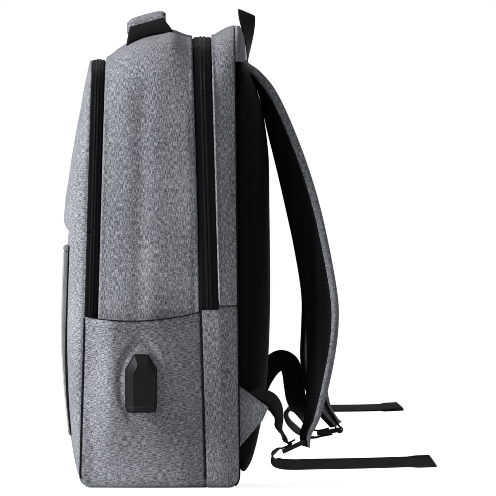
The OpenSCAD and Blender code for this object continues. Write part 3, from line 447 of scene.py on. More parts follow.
share = edge_steps(110, 0.6)
line = along(share, np.linspace(0, 1, len(side_line)), side_line)
t = (line[:, :1] - front_edge[0]) / (main_zip_front[0] - front_edge[0])
mouth = 165 + 5 * t * t - 5 * 4 * t * (1 - t)
drop = np.concatenate([np.linspace(0, 0.08, 8), np.linspace(0.09, 0.93, 84), np.linspace(0.94, 1, 10)])[None]
height = 0.8 + (mouth - 0.8) * drop
points = toe(pocket_face(t + 0 * drop, height, line[:, 2:3], line[:, :1], line[:, 1:2]), t)
out = outward(points, (1, 0, 0))
edge = np.minimum(t, 1 - t) * 120
hem = 0.5 * ramp(mouth - height, 9.5, 8.5) - 0.5 * bell(mouth - height - 7, 0.7)
y, z = points[..., 1], points[..., 2]
flat_by_outlet = 1 - np.exp(-(((y - OUTLET[1]) / 26) ** 4 + ((z - OUTLET[2]) / 38) ** 4))
fold = 1.5 * ripple(y, z, 11, 70) * flat_by_outlet * np.clip(edge / 20, 0, 1)
pucker = -1.6 * bell(edge, 1.3)
ring = np.sqrt(((y - OUTLET[1]) / 16.5) ** 2 + ((z - OUTLET[2]) / 29.5) ** 2)
groove = -2.4 * bell(ring - 1.26, 0.17)
points = points + out * (hem + fold * ramp(height, 8, 40) + pucker + groove)[..., None]
pocket_edge = points[3:-3, -1]
for side, turn in HANDS.items():
    sewn("slip_pocket_" + side, points * turn, "side_pocket_" + side, heather_across, skin=1.5)
    seam, off = points[4:-4, -8] * turn, out[4:-4, -8] * turn
    stitch_row("pocket_hem_stitches_" + side, seam + off * 0.05, (0, 0, 1), off, 3.2, black_thread)

# Rear gusset and its two lower walls: a narrow strip of the same cloth between the main zip and the back,
# joined to the lower walls in a level seam. Its front edge is turned over a cord, which shows as a light rib
# by the zip.
t = edge_steps(30, 0.7)
LEVEL_SEAM = 176.3
points = arch(between(main_zip_back, back_edge, t, 1, 2), LEVEL_SEAM, sides=30)
out = outward(points)
edge = np.minimum(t, 1 - t)[:, None] * 20
y, z = points[..., 1], points[..., 2]
rib = 1.5 * bell(t[:, None] * 20 - 1.5, 1.1) - 1.2 * bell(edge, 0.6)
fold = 0.7 * ripple(y, z, 5, 60) * np.clip(edge / 6, 0, 1) - 1.3 * bell(z - LEVEL_SEAM, 1.2)
sewn("rear_gusset_cloth", points + out * (rib + fold)[..., None], "rear_gusset")
t = edge_steps(34, 0.6)
line = along(t, [0, 0.46, 1], [main_zip_front, main_zip_back, back_edge])
points = heel(foot(line, LEVEL_SEAM - 0.5, rows=40), t[:, None])
out = outward(points, (1, 0, 0))
edge = np.minimum(t, 1 - t)[:, None] * 34
y, z = points[..., 1], points[..., 2]
tuck = -1.3 * bell(edge, 1.0) - 1.3 * bell(LEVEL_SEAM - 0.5 - z, 1.2)
fold = 0.8 * ripple(y, z, 8, 50) * np.clip(edge / 8, 0, 1) * ramp(z, 10, 40)
points = points + out * (tuck + fold)[..., None]
for side, turn in HANDS.items():
    sewn("rear_wall_cloth_" + side, points * turn, "rear_wall_" + side)

# Base: a flat panel of the same cloth, with a stiffener inside, sewn to the rolled feet of the walls all
# round.
v = np.linspace(-1, 1, 40)[None]
line = np.concatenate([side_line, between(main_zip_front, back_edge, np.linspace(0.05, 1, 12), 1, 0)])
line = line[(line[:, 0] > -69) & (line[:, 0] < 64)]
points = grid((line[:, 2:3] - BASE_R) * v, line[:, :1], 0.35)
sewn("base_cloth", points, "base_panel")

# Front: one cut of cloth from the base to the top. Below the crease it is the fixed wall behind the solar
# panel; above it is the flap, which puffs out over the crease.


def half_width(station, z):
    """Half width of the upright U of a station at height z: foot roll, straight side, corner, then the flat
    top."""
    w, h = station[2], station[3]
    shoulder = h - TOP_SAG - TOP_R
    corner = w - TOP_R + np.sqrt(np.maximum(0, TOP_R ** 2 - np.clip(z - shoulder, 0, TOP_R) ** 2))
    crown = (w - TOP_R) * np.sqrt(np.maximum(0, h - z) / TOP_SAG)
    return np.where(z < shoulder, w - rolled(z), np.where(z < h - TOP_SAG, corner, crown))


def seam_y(station, z):
    """Y of a station's leaning seam at height z."""
    return station[0] + station[1] * z


def belly(s):
    """How full a panel is at share s from its middle: (1 - |s|^5)^0.6."""
    return (1 - np.minimum(1, np.abs(s)) ** 5) ** 0.6


CREASE = 247


def panel_depth(z):
    """How far the front stands out from its seam below the crease: a rounded rise to 19.5 mm at 176, then
    19."""
    low = 2 + 17.5 * np.maximum(0, 1 - ((176 - z) / 164) ** 2) ** 0.75
    return np.where(z < 176, low, 19.5 - 0.5 * ((z - 176) / (CREASE - 176)) ** 2)


def front_depth(z):
    """How far the front stands out: the panel's depth, then the flap's own puff of 23 mm just above the
    crease, which falls away to the top seam."""
    flap = 2 + 21.5 * (1 - (np.maximum(0, z - 259) / 155) ** 1.35) - 3.4 * ramp(z, 259, CREASE)
    notch = 1.8 * bell(z - 247.5, 2.2)
    return np.where(z < CREASE, panel_depth(z), flap) - notch


def front_place(s, z):
    """Point of the front at share s of its half width and height z."""
    y = seam_y(front_edge, z) - front_depth(z) * belly(s)
    return grid(half_width(front_edge, z) * s, y + rolled(z), z)


def spread(n, p):
    """A row of n shares from -1 to 1 that crowd towards both ends: sign(k) (1 - (1 - |k|)^p)."""
    k = np.linspace(-1, 1, n)[None]
    return np.sign(k) * (1 - (1 - np.abs(k)) ** p)


s = spread(90, 2)
height = np.unique(np.concatenate([BASE_R - BASE_R * np.cos(np.linspace(0.05, 1.5, 8)),
                                   np.linspace(13, 236, 60),
                                   np.linspace(237.5, 272, 30), np.linspace(274, 396, 40),
                                   413.4 - 16 * (1 - np.linspace(0, 1, 10)) ** 2]))[:, None]
points = front_place(s, height)
out = outward(points, (0, -1, 0))
edge = (1 - np.abs(s)) * front_edge[2]
fold = (1.1 * ripple(points[..., 0], points[..., 2], 21, 90) * np.clip(edge / 25, 0, 1)
        * ramp(height, 262, 300))
fold = fold - 1.2 * bell(edge, 1.2)
front_cloth = surface("front_cloth", points + out * fold[..., None], heather, inside=heart, skin=CLOTH)
for modifier in list(front_cloth.modifiers):
    with bpy.context.temp_override(object=front_cloth):
        bpy.ops.object.modifier_apply(modifier=modifier.name)
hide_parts("front_panel", "front_flap")
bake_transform(front_cloth)

# Zips: black woven tape each side of the opening, with its nylon coil along the meeting edge. The tape of the
# front zip is cut at the crease, so its upper run folds down with the flap and its lower run stays with the
# pack.


def tape_nodes(name, colour, rough):
    """Woven polyester tape or lining: a fine twill, drawn at 1.2 mm so that it shows, dark with a dull
    surface."""
    material, tree, shade, place = blank(name, {"Roughness": rough, "Specular IOR Level": 0.08}, "UV")
    turned = add(tree, "Mapping", {0: place, 2: (0, 0, np.radians(35))})
    twill = add(tree, "TexWave", {"Vector": turned, "Scale": 2 * np.pi / 20 / (1.2 * MM), "Distortion": 1.0,
                                  "Detail": 1.0}, bands_direction="X").outputs["Fac"]
    worn = add(tree, "TexNoise", {"Vector": place, "Scale": 60.0, "Detail": 3.0}, noise_dimensions="2D")
    mixed = add(tree, "Math", {0: twill, 1: worn}, operation="MULTIPLY")
    add(tree, "ValToRGB", {0: mixed}, shade["Base Color"], (linear(colour, 0.7), linear(colour, 1.9)))
    add(tree, "Bump", {"Height": twill, "Strength": 0.35, "Distance": 0.3 * MM}, shade["Normal"])
    return material


def moulded_nodes(name, colour, rough, grain):
    """Moulded plastic: one dark colour under a fine spark-eroded grain, which breaks the highlight into a
    satin."""
    material, tree, shade, place = blank(name, {"Specular IOR Level": 0.12})
    pits = add(tree, "TexNoise", {"Vector": place, "Scale": 1 / (grain * MM), "Detail": 2.0})
    smear = add(tree, "TexNoise", {"Vector": place, "Scale": 70.0, "Detail": 3.0})
    add(tree, "ValToRGB", {0: smear}, shade["Base Color"], (linear(colour, 0.75), linear(colour, 1.35)))
    add(tree, "MapRange", {0: smear, 1: 0.3, 2: 0.7, 3: rough - 0.06, 4: rough + 0.08}, shade["Roughness"])
    add(tree, "Bump", {"Height": pits, "Strength": 0.12, "Distance": 0.15 * MM}, shade["Normal"])
    return material


zip_tape = tape_nodes("woven_zip_tape", "#0d0e10", 0.85)
zip_coil = moulded_nodes("nylon_zip_coil", "#0f1013", 0.5, 0.6)


def zip_tape_half(name, outer, mid, coil_w, z0, body, node, straight_to=None):
    """One half of a zip: a tape from its sewn edge to the meeting line, up to 1.1 mm proud at the coil, along
    the upright U, or along its two straight sides only, with a row of coil bars beside the meeting line."""
    v = np.array([-0.2, 0, 0.06, 0.2, 0.45, 0.62, 0.7, 0.85, 0.99])
    lift = np.array([-2.6, -0.9, 0, 0.25, 0.2, 0.3, 0.55, 0.65, 0.4])
    lines = outer + (mid - outer) * v[:, None]
    points = arch(lines, z0, sides=40)
    if straight_to:
        height = np.linspace(z0, straight_to, 20)[None]
        points = grid(lines[:, 2:3], lines[:, :1] + lines[:, 1:2] * height, height)
    out = outward(points)
    points = points + out * lift[:, None, None]
    for hand, turn in HANDS.items() if straight_to else (("", 1),):
        side = name + "_" * bool(hand) + hand
        sewn(side, points * turn, node, zip_tape, "zip_tape", 0.9, body)
        across = np.array([0, 1, 0])
        bar = (points[-1] + np.sign(outer[0] - mid[0]) * across * coil_w / 4 + out[-1] * 0.1) * turn
        stitch_row(side + "_coil", bar, across, out[-1] * turn, 1.9, zip_coil, body, "zip_tape",
                   length=0.72, wide=coil_w / 2 - 0.3, high=0.85)


zip_tape_half("front_zip_body_tape", front_zip_back, front_zip_mid, 4.6, 160, "pack", "front_zip_body_half")
zip_tape_half("front_zip_flap_tape", front_edge, front_zip_mid, 4.6, 247.3, "front_flap",
              "front_zip_flap_half")
zip_tape_half("front_zip_lower_tape", front_edge, front_zip_mid, 4.6, 160, "pack", "front_zip_lower_half",
              straight_to=246.7)
zip_tape_half("main_zip_front_tape", main_zip_front, main_zip_mid, 6, 172, "pack", "main_zip_front_half")
zip_tape_half("main_zip_rear_tape", main_zip_back, main_zip_mid, 6, 172, "pack", "main_zip_rear_half")

# Sliders and pulls: die-cast zinc, barrelled to take off the sharp edges, then lacquered gunmetal black. They
# are parked on the left side, one on the front zip and two on the main zip.


def lacquer_nodes(name, colour):
    """Gunmetal lacquer on die-cast zinc: a dark metal that is duller in patches and has a slight orange
    peel."""
    material, tree, shade, place = blank(name, {"Metallic": 0.9})
    wear = add(tree, "TexNoise", {"Vector": place, "Scale": 300.0, "Detail": 4.0})
    add(tree, "MapRange", {0: wear, 1: 0.3, 2: 0.7, 3: 0.26, 4: 0.48}, shade["Roughness"])
    add(tree, "ValToRGB", {0: wear}, shade["Base Color"], (linear(colour, 0.8), linear(colour, 1.3)))
    add(tree, "Bump", {"Height": wear, "Strength": 0.06, "Distance": 0.1 * MM}, shade["Normal"])
    return material


def eased(node, material, body, slot, width, steps=3):
    """A copy of a rigid solid with every sharp edge rounded to the given radius in millimetres."""
    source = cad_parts[node]
    work = bmesh.new()
    work.from_mesh(source.data)
    work.transform(source.matrix_world)
    bmesh.ops.remove_doubles(work, verts=work.verts, dist=1e-6)
    bmesh.ops.dissolve_limit(work, angle_limit=0.02, verts=work.verts, edges=work.edges)
    mesh = bpy.data.meshes.new(node + "_eased")
    work.to_mesh(mesh)
    work.free()
    piece = placed(node + "_eased", mesh, material)
    edge = piece.modifiers.new("eased_edges", "BEVEL")
    edge.width, edge.segments = width * MM, steps
    edge.limit_method, edge.angle_limit = "ANGLE", np.radians(28)
    edge.use_clamp_overlap = True
    mesh.polygons.foreach_set("use_smooth", np.ones(len(mesh.polygons), bool))
    piece.modifiers.new("even_shading", "WEIGHTED_NORMAL").keep_sharp = True
    return dress(piece, body, slot, node)


gunmetal = lacquer_nodes("gunmetal_lacquered_zinc", "#3b3d41")
for name in ("front_%s", "main_%s_lower", "main_%s_upper"):
    eased(name % "slider", gunmetal, name % "slider", "slider_metal", 0.5)
    eased(name % "pull", gunmetal, name % "pull", "slider_metal", 0.45)

# Back: a stiff board lined in black, a deep pad of foam under spacer mesh with a channel for the spine, and
# above it a roll of heather cloth. The pad is stuffed, so it is swelled by a cloth simulation.


def mesh_nodes(name, colour, pitch):
    """Spacer mesh: a black knit with a field of small oval holes, pitch apart, that read as fine dark
    dots."""
    material, tree, shade, place = blank(name, {"Roughness": 0.95, "Specular IOR Level": 0.06})
    scaled = add(tree, "Mapping", {0: place, 3: (1, 0.25, 0.8)})
    holes = add(tree, "TexVoronoi", {"Vector": scaled, "Scale": 1 / (pitch * MM), "Randomness": 0.25})
    rim = add(tree, "MapRange", {0: holes, 1: 0.22, 2: 0.5})
    yarn = add(tree, "TexNoise", {"Vector": place, "Scale": 900.0, "Detail": 2.0})
    mixed = add(tree, "Math", {0: rim, 1: yarn}, operation="MULTIPLY")
    add(tree, "ValToRGB", {0: mixed}, shade["Base Color"], (linear(colour, 0.25), linear(colour, 1.8)))
    add(tree, "Bump", {"Height": rim, "Strength": 0.6, "Distance": 0.7 * MM}, shade["Normal"])
    return material


air_mesh = mesh_nodes("black_spacer_mesh", "#131416", 3.0)
lining = tape_nodes("black_lining_cloth", "#17181a", 0.85)


def panel(station, z0, z1, offset, rows=40):
    """A flat inner panel that fills a station's leaning plane from z0 to z1, moved along Y."""
    z = np.linspace(z0, z1, rows)[:, None]
    v = np.linspace(-1, 1, 24)[None]
    return grid((half_width(station, z) - 2.6) * v, seam_y(station, z) + offset, z)


def on_back(x, z, deep):
    """Points at X and Z that stand deep off the seam plane of the back, clear of its board."""
    return grid(x, seam_y(back_edge, z) + CLEAR + deep, z)


def places(mesh):
    """Places of a mesh's vertices, one in each row."""
    place = np.empty(3 * len(mesh.vertices))
    mesh.vertices.foreach_get("co", place)
    return place.reshape(-1, 3)


sewn("back_board_lining", heel(panel(back_edge, 1, 445, 1.0, 180), 1), "back_board", lining, "air_mesh", 2.9)
z = np.linspace(13, 417, 72)[:, None]
PAD_HALF = 126
x = PAD_HALF * spread(61, 1.25)
rise = np.where(z < 215, np.maximum(0, 1 - ((215 - z) / 203) ** 2) ** 0.52,
                1 - 0.93 * (np.maximum(0, z - 300) / 117) ** 3.5)
valley = 1 - 0.4 * bell(x, 17)
deep = 3 + 28 * rise * belly(x / PAD_HALF) * valley


def stuffed(piece, held, cap, pressure=4.0):
    """Swells a closed pad by cloth simulation: a net of 5 mm, pressure from inside, no gravity, 20 frames.
    Points that held picks out stay where they are, and none moves further than cap, in millimetres."""
    with bpy.context.temp_override(object=piece, active_object=piece, selected_objects=[piece]):
        net = piece.modifiers.new("even_net", "REMESH")
        net.mode, net.voxel_size = "VOXEL", 5 * MM
        bpy.ops.object.modifier_apply(modifier=net.name)
    rest = places(piece.data)
    piece.vertex_groups.new(name="sewn").add(np.flatnonzero(held(rest / MM)).tolist(), 1.0, "REPLACE")
    cloth = piece.modifiers.new("stuffing", "CLOTH").settings
    cloth.use_pressure, cloth.uniform_pressure_force = True, pressure
    cloth.effector_weights.gravity, cloth.vertex_group_mass = 0, "sewn"
    for frame_number in range(1, 21):
        scene.frame_set(frame_number)
    move = places(piece.evaluated_get(bpy.context.evaluated_depsgraph_get()).data) - rest
    far = np.linalg.norm(move, axis=1, keepdims=True)
    move *= np.minimum(1, cap * MM / np.maximum(far, 1e-9))
    piece.modifiers.remove(piece.modifiers["stuffing"])
    piece.data.vertices.foreach_set("co", (rest + move).ravel())
    scene.frame_set(1)
    smooth = piece.modifiers.new("smooth_net", "SUBSURF")
    smooth.levels = smooth.render_levels = 1
    piece.data.polygons.foreach_set("use_smooth", np.ones(len(piece.data.polygons), bool))


slack = 0.9
back_pad = closed("back_pad_foam", on_back(x, z, slack * deep), on_back(x, z, 0), air_mesh)
stuffed(back_pad, lambda p: p[:, 1] < seam_y(back_edge, p[:, 2]) + 3.5, 4.0)
dress(back_pad, "pack", "air_mesh", "back_pad")

z = np.concatenate([np.linspace(412, 420, 6), 420 + 27.3 * np.sin(np.linspace(0.08, np.pi / 2, 16))])[:, None]
s = spread(61, 2)
x = (half_width(back_edge, z) - 2) * s
swell = np.sqrt(np.maximum(0, 1 - (np.maximum(0, z - 420) / 28) ** 2))
deep = 2 + (8 * swell + 0.5 * ripple(x, z, 31, 45)) * belly(s)
yoke = closed("back_yoke_roll", on_back(x, z, deep), on_back(x, z, 0), heather)
dress(yoke, "pack", "heather_cloth", "back_yoke")

# Inside: a lining wall between the front pocket and the main compartment, and a foam laptop sleeve before the
# back.
sewn("front_pocket_lining", panel(front_zip_back, 3, 411, 0.4), "front_pocket_wall", lining, skin=1.0)
full = (1 - np.linspace(-1, 1, 24) ** 8)[None] * (1 - np.linspace(-1, 1, 50) ** 10)[:, None]
thin = 2.8 * (1 - full)
face, seat = (panel(back_edge, 3, 319, -34 + offset, rows=50) for offset in (5.8 - thin, thin))
sleeve = closed("laptop_sleeve_foam", face, seat, lining)
dress(sleeve, "pack", "air_mesh", "laptop_sleeve")

# Solar panel: thin silicon cells on a stiff black backing under a clear flexible laminate, bound round its
# edge with grey tape that is sewn through to the front cloth. It follows the belly of the front.


def cell_nodes(name):
    """Monocrystalline silicon behind its coating: blue-black, with silver fingers 2.4 mm and busbars 23 mm
    apart."""
    material, tree, shade, place = blank(name, {"Roughness": 0.3, "Coat Weight": 0.6})
    axes = add(tree, "SeparateXYZ", {0: place}).outputs
    bars = []
    for axis, pitch, width in ((2, 2.4, 0.12), (0, 23.0, 0.05)):
        line = add(tree, "Math", {0: axes[axis], 1: 1 / (pitch * MM)}, operation="MULTIPLY")
        part = add(tree, "Math", {0: line}, operation="FRACT")
        bars.append(add(tree, "Math", {0: part, 1: width}, operation="LESS_THAN"))
    silver = add(tree, "Math", {0: bars[0], 1: bars[1]}, operation="MAXIMUM")
    grain = add(tree, "TexNoise", {"Vector": place, "Scale": 25.0, "Detail": 2.0})
    deep = add(tree, "ValToRGB", {0: grain}, tones=(linear("#090d1c"), linear("#141c38")))
    mixed = add(tree, "Mix", {0: silver, 6: deep, 7: linear("#8f959c")}, data_type="RGBA")
    tree.links.new(mixed.outputs[2], shade["Base Color"])
    return material


def film_nodes(name):
    """Clear laminate: a soft fluoropolymer film with a faint embossed grain, so its gloss is broad and a bit
    milky."""
    material, tree, shade, place = blank(name, {"Base Color": linear("#e6ebf2"), "Roughness": 0.22,
                                                "IOR": 1.4, "Transmission Weight": 1.0})
    grain = add(tree, "TexVoronoi", {"Vector": place, "Scale": 1 / (0.9 * MM)})
    add(tree, "Bump", {"Height": grain, "Strength": 0.15, "Distance": 0.2 * MM}, shade["Normal"])
    return material


def skin_y(x, z):
    """Outside of the front cloth below the crease, where the panel lies."""
    return seam_y(front_edge, z) - panel_depth(z) * belly(x / front_edge[2])


def on_panel(x, z, off):
    """Points at X and Z that stand off from the front cloth, half as far at the panel's foot as above."""
    return grid(x, skin_y(x, z) - (1 - 0.5 * ramp(z, 150, 55)) * off, z)


def laminate(name, x0, x1, z0, z1, off, thick, material, round_edge, slot, node, nx=40, nz=40):
    """A slab that follows the front's belly: inner face off from the cloth, outer face thick further out, its
    edges rounded by easing the outer face down over round_edge."""
    u, v = edge_steps(nx, 0.5)[None], edge_steps(nz, 0.5)[:, None]
    x, z = x0 + (x1 - x0) * u, z0 + (z1 - z0) * v
    near = np.minimum(np.minimum(x - x0, x1 - x), np.minimum(z - z0, z1 - z))
    ease = np.sqrt(np.maximum(0, 1 - np.maximum(0, 1 - near / round_edge) ** 2))
    face = on_panel(x, z, off + thick * (0.35 + 0.65 * ease))
    return dress(closed(name, face, on_panel(x, z, off), material), "pack", slot, node)


backing_board = moulded_nodes("black_backing_board", "#0d0e10", 0.5, 0.4)
silicon, film = cell_nodes("monocrystalline_silicon"), film_nodes("clear_fluoropolymer_film")
PANEL, CELL_W, CELL_H, CELL_GAP = (-95, 95, 56, 228), 85.5, 36.75, 3
laminate("solar_backing_sheet", *PANEL, CLEAR, 2.2, backing_board, 0.4, "black_plastic", "solar_backing")
for column in range(2):
    for row in range(4):
        x0, z0 = -87 + column * (CELL_W + CELL_GAP), 64 + row * (CELL_H + CELL_GAP)
        laminate("solar_cell_%d_%d" % (column, row), x0, x0 + CELL_W, z0, z0 + CELL_H, 2.65, 0.4, silicon,
                 0.2, "silicon", "solar_cells", 16, 8)
laminate("solar_film", *PANEL, 3.2, 0.9, film, 0.8, "clear_laminate", "solar_cover")


def webbing_nodes(name, colour, pitch):
    """Nylon webbing: thick warp cords side by side, crossed by a picking that shows as slanted ribs, pitch
    apart. Black, with a low sheen where the cords crown."""
    material, tree, shade, place = blank(name, {"Roughness": 0.7, "Specular IOR Level": 0.1}, "UV")
    scale = 2 * np.pi / 20 / (pitch * MM)
    left = add(tree, "Mapping", {0: place, 2: (0, 0, np.radians(30))})
    ribs = add(tree, "TexWave", {"Vector": left, "Scale": scale, "Distortion": 0.4}, bands_direction="X")
    cords = add(tree, "TexWave", {"Vector": place, "Scale": scale * 1.1}, bands_direction="Y")
    high = add(tree, "Math", {0: ribs.outputs["Fac"], 1: cords.outputs["Fac"]}, operation="MULTIPLY")
    fluff = add(tree, "TexNoise", {"Vector": place, "Scale": 200.0, "Detail": 3.0}, noise_dimensions="2D")
    mixed = add(tree, "Math", {0: high, 1: 0.7, 2: fluff}, operation="MULTIPLY_ADD")
    tone = add(tree, "ValToRGB", {0: mixed}, shade["Base Color"], (linear(colour, 0.55), linear(colour, 2.0)))
    tone.color_ramp.elements[0].position = 0.25
    add(tree, "Bump", {"Height": high, "Strength": 0.55, "Distance": 0.5 * MM}, shade["Normal"])
    return material


webbing = webbing_nodes("black_nylon_webbing", "#0b0c0d", 2.0)
binding = webbing_nodes("black_binding_tape", "#0b0c0d", 1.4)
rim_tape = tape_nodes("grey_coated_binding_tape", "#66686b", 0.6)
for name, box, nx, nz in (("left", (-101.15, -95.15, 56, 228), 8, 50),
                          ("right", (95.15, 101.15, 56, 228), 8, 50),
                          ("low", (-101.15, 101.15, 49.85, 55.85), 60, 8),
                          ("high", (-101.15, 101.15, 228.15, 234.15), 60, 8)):
    laminate("solar_binding_" + name, *box, CLEAR, 3.8, rim_tape, 2.6, "webbing", "solar_binding", nx, nz)
x, z = np.linspace(-98, 98, 120), np.linspace(53, 231, 110)
for name, row, up in (("low", (x, 52.8), (0, 0, 1)), ("high", (x, 231.2), (0, 0, 1)),
                      ("left", (-98.2, z), (1, 0, 0)), ("right", (98.2, z), (1, 0, 0))):
    stitch_row("solar_binding_stitches_" + name, on_panel(*row, 4.0), up, (0, -1, 0), 3.4, grey_thread)

# Charge regulator: a small moulded box behind the panel, inside the front pocket, with its socket facing up.
eased("solar_regulator", backing_board, "pack", "black_plastic", 0.8)

# USB outlet: a moulded flange sewn through the pocket, and on it a bullet-shaped hood with a bevelled face.
# The hood keeps rain off a socket that opens downwards. Six small dimples are pressed into its face by the
# lower edge.


def flat_on(path):
    """Unit directions across a path in the YZ plane: the cross product of X and its direction."""
    return unit(np.cross([1.0, 0, 0], np.gradient(path, axis=0)))


hood_plastic = moulded_nodes("black_abs_hood", "#0b0d0e", 0.36, 0.5)
eased("usb_flange", hood_plastic, "pack", "black_plastic", 0.5)
hood = eased("usb_hood", hood_plastic, "pack", "black_plastic", 0.7, 4)
place = places(hood.data) / MM - OUTLET
rise = np.clip((place[:, 0] - 165.6) / 7.4, 0, 1)
taper = 1 - 0.34 * rise
place[:, 1] *= np.where(place[:, 1] < 0, 1 - 0.46 * rise, 1 - 0.1 * rise) / taper
place[:, 2] *= np.where(place[:, 2] < 0, 1 - 0.04 * rise, taper) / taper
hood.data.vertices.foreach_set("co", ((place + OUTLET) * MM).ravel())
hood.data.update()
line = np.linspace((173, -31.6, 78.3), (173, -13, 78.3), 20)
stitch_row("hood_dimples", line, (0, 0, 1), (1, 0, 0), 3.1, black_thread, "pack", "black_plastic",
           0.4, 1.2, 0.1)
rim = np.array([(-7.9, 29.8), (-17.1, 14), (-17.1, -22), (-15.1, -29.8), (15.1, -29.8), (17.1, -22),
                (17.1, 14), (7.9, 29.8), (-7.9, 29.8)])
step = lengths(rim)
at = np.linspace(0, step[-1], 200)
line = grid(159.2, *(along(at, step, rim) + OUTLET[1:]).T)
stitch_row("outlet_stitches", line, flat_on(line), (1, 0, 0), 2.6, grey_thread)


def bright_nodes(name, colour, metal, rough):
    """Pressed tin-plated steel or plain moulded insulator: fine straight draw lines along Z in its gloss."""
    material, tree, shade, place = blank(name, {"Base Color": linear(colour), "Metallic": metal})
    drawn = add(tree, "Mapping", {0: place, 3: (3000, 3000, 60)})
    lines = add(tree, "TexNoise", {"Vector": drawn, "Scale": 1.0, "Detail": 2.0})
    add(tree, "MapRange", {0: lines, 1: 0.3, 2: 0.7, 3: rough - 0.08, 4: rough + 0.1}, shade["Roughness"])
    return material


eased("usb_shell", bright_nodes("tin_plated_steel", "#b4b7ba", 1.0, 0.3), "pack", "socket_steel", 0.12, 2)
eased("usb_tongue", bright_nodes("white_socket_insulator", "#d9d9d4", 0.0, 0.45), "pack", "black_plastic",
      0.15, 2)

# Carry handle: a broad band of black webbing, both ends sewn into the top, padded and wrapped in heather
# cloth where it is held. It leans up towards the rear.


def top_height(x, y):
    """Height of the gusset's crown at a place on the top, from the same stations as the gusset."""
    a, b = (seam_y(station, main_zip_front[3]) for station in (front_zip_back, main_zip_front))
    share = (y - a) / (b - a)
    swell = 4 * share * (1 - share)
    half = 138 + 8 * share + 8 * swell
    return 414 + 22 * share + 15 * swell - TOP_SAG * (x / (half - TOP_R)) ** 2


def power(x, p):
    """x to the power p with its sign kept: below 1 it squares off the corners of a ring."""
    return np.sign(x) * np.abs(x) ** p


def handle_face(step, face, grow, cols):
    """One face of the handle at steps of its arc: X = 58 cos^0.5, rise = 15 sin^0.55, offset along the arc's
    normal; the band narrows from 46 to 31 mm as it rises, and tilts 15 degrees."""
    a = np.pi * step / 20
    c, s = np.cos(a), np.sin(a)
    arc = np.stack([-58 * power(c, 0.5), 15 * np.maximum(s, 0) ** 0.55], -1)
    way = unit(np.gradient(arc, axis=0))
    way[0], way[-1] = (0, 1), (0, -1)
    q = arc + face * (1.5 + grow) * np.stack([-way[:, 1], way[:, 0]], -1)
    lift = ramp(arc[:, 1] / 15, 0, 1)[:, None]
    half = 23 - 7.5 * lift + grow
    d = half * np.linspace(-1, 1, cols)[None]
    y = -12 - 4 * lift + d
    seat = (top_height(q[:, :1], y) * (1 - lift)
            + (top_height(q[:, :1], -16) + d * np.tan(np.radians(15))) * lift)
    return grid(q[:, :1], y, seat + CLEAR + q[:, 1:])


step = np.linspace(0, 20, 90)
handle = closed("carry_handle_webbing", handle_face(step, 1, 0, 17), handle_face(step, -1, 0, 17), webbing)
dress(handle, "pack", "webbing", "carry_handle")
step = np.linspace(5, 15, 60)
over = handle_face(step, 1, 2.6, 21)
under = handle_face(step, -1, 2.4, 21)
v = np.linspace(-1, 1, 21)[None, :, None]
end = np.abs(np.linspace(-1, 1, 60))[:, None, None]
round_off = 3.2 * v ** 6 + 2.0 * ramp(end, 0.94, 1)
over = over - [0, 0, 1] * round_off + [0, 0, 0.5] * ripple(over[..., 0], over[..., 1], 41, 26)[..., None]
under = under + [0, 0, 1] * round_off
grip = closed("handle_grip_wrap", over, under, heather)
dress(grip, "pack", "heather_cloth", "handle_grip")

# Hang loop: one length of webbing with both ends sewn in flat under the yoke. It stands by its own stiffness
# and turns edge on towards its top, so that the side view shows its full width there.
WEB_W, WEB_T = 20, 1.6


def smooth_path(points, steps):
    """A Catmull-Rom curve through points, with the given number of steps between each pair."""
    p = np.concatenate([points[:1], points, points[-1:]])
    a, b, c, d = p[:-3, None], p[1:-2, None], p[2:-1, None], p[3:, None]
    t = np.linspace(0, 1, steps, endpoint=False)[None, :, None]
    run = (2 * b + (c - a) * t + (2 * a - 5 * b + 4 * c - d) * t ** 2 + (3 * b - a - 3 * c + d) * t ** 3) / 2
    return np.concatenate([run.reshape(-1, points.shape[1]), points[-1:]])


def ribbon(name, path, across, width, thick, material, body=None, slot="webbing", *nodes, slant=0.0):
    """Flat webbing along a path: at each point a flattened ring, width across and thick through, with rounded
    selvedges. across is one direction, or one for each point, squared up to the path. slant cuts the last end
    askew."""
    way = unit(np.gradient(path, axis=0))
    side = unit(across - way * (across * way).sum(1, keepdims=True))
    out = np.cross(way, side)
    a = np.linspace(0, 2 * np.pi, 20, endpoint=False)
    u, v = power(np.cos(a), 0.35)[None, :, None], power(np.sin(a), 0.6)[None, :, None]
    reach = slant * np.clip(np.arange(len(path)) - len(path) + 6, 0, 5)[:, None, None] / 5
    points = path[:, None] + side[:, None] * u * width / 2 + out[:, None] * v * thick / 2
    points = points + way[:, None] * (reach * u)
    piece = surface(name, points, material, ring=True)
    if body:
        dress(piece, body, slot, *nodes)
    return piece


step = np.linspace(-1, 1, 61)
arc = np.pi / 2 * (1 - np.abs(step)) ** 1.6
rise, level = np.sin(arc) ** 0.6, np.sqrt(np.cos(arc))
turn = np.pi / 2 * rise ** 1.5
path = grid(np.sign(step) * 12.5 * level, 82.168 + 1.6 * np.sin(np.pi * rise) - 0.7 * rise, 411 + 49 * rise)
over = grid(-np.sign(step) * np.cos(turn), 0.92 * np.sin(turn), -0.39 * np.sin(turn))
ribbon("hang_loop_webbing", path, over, 17.5, WEB_T, webbing, "hang_loop", "webbing", "hang_loop")
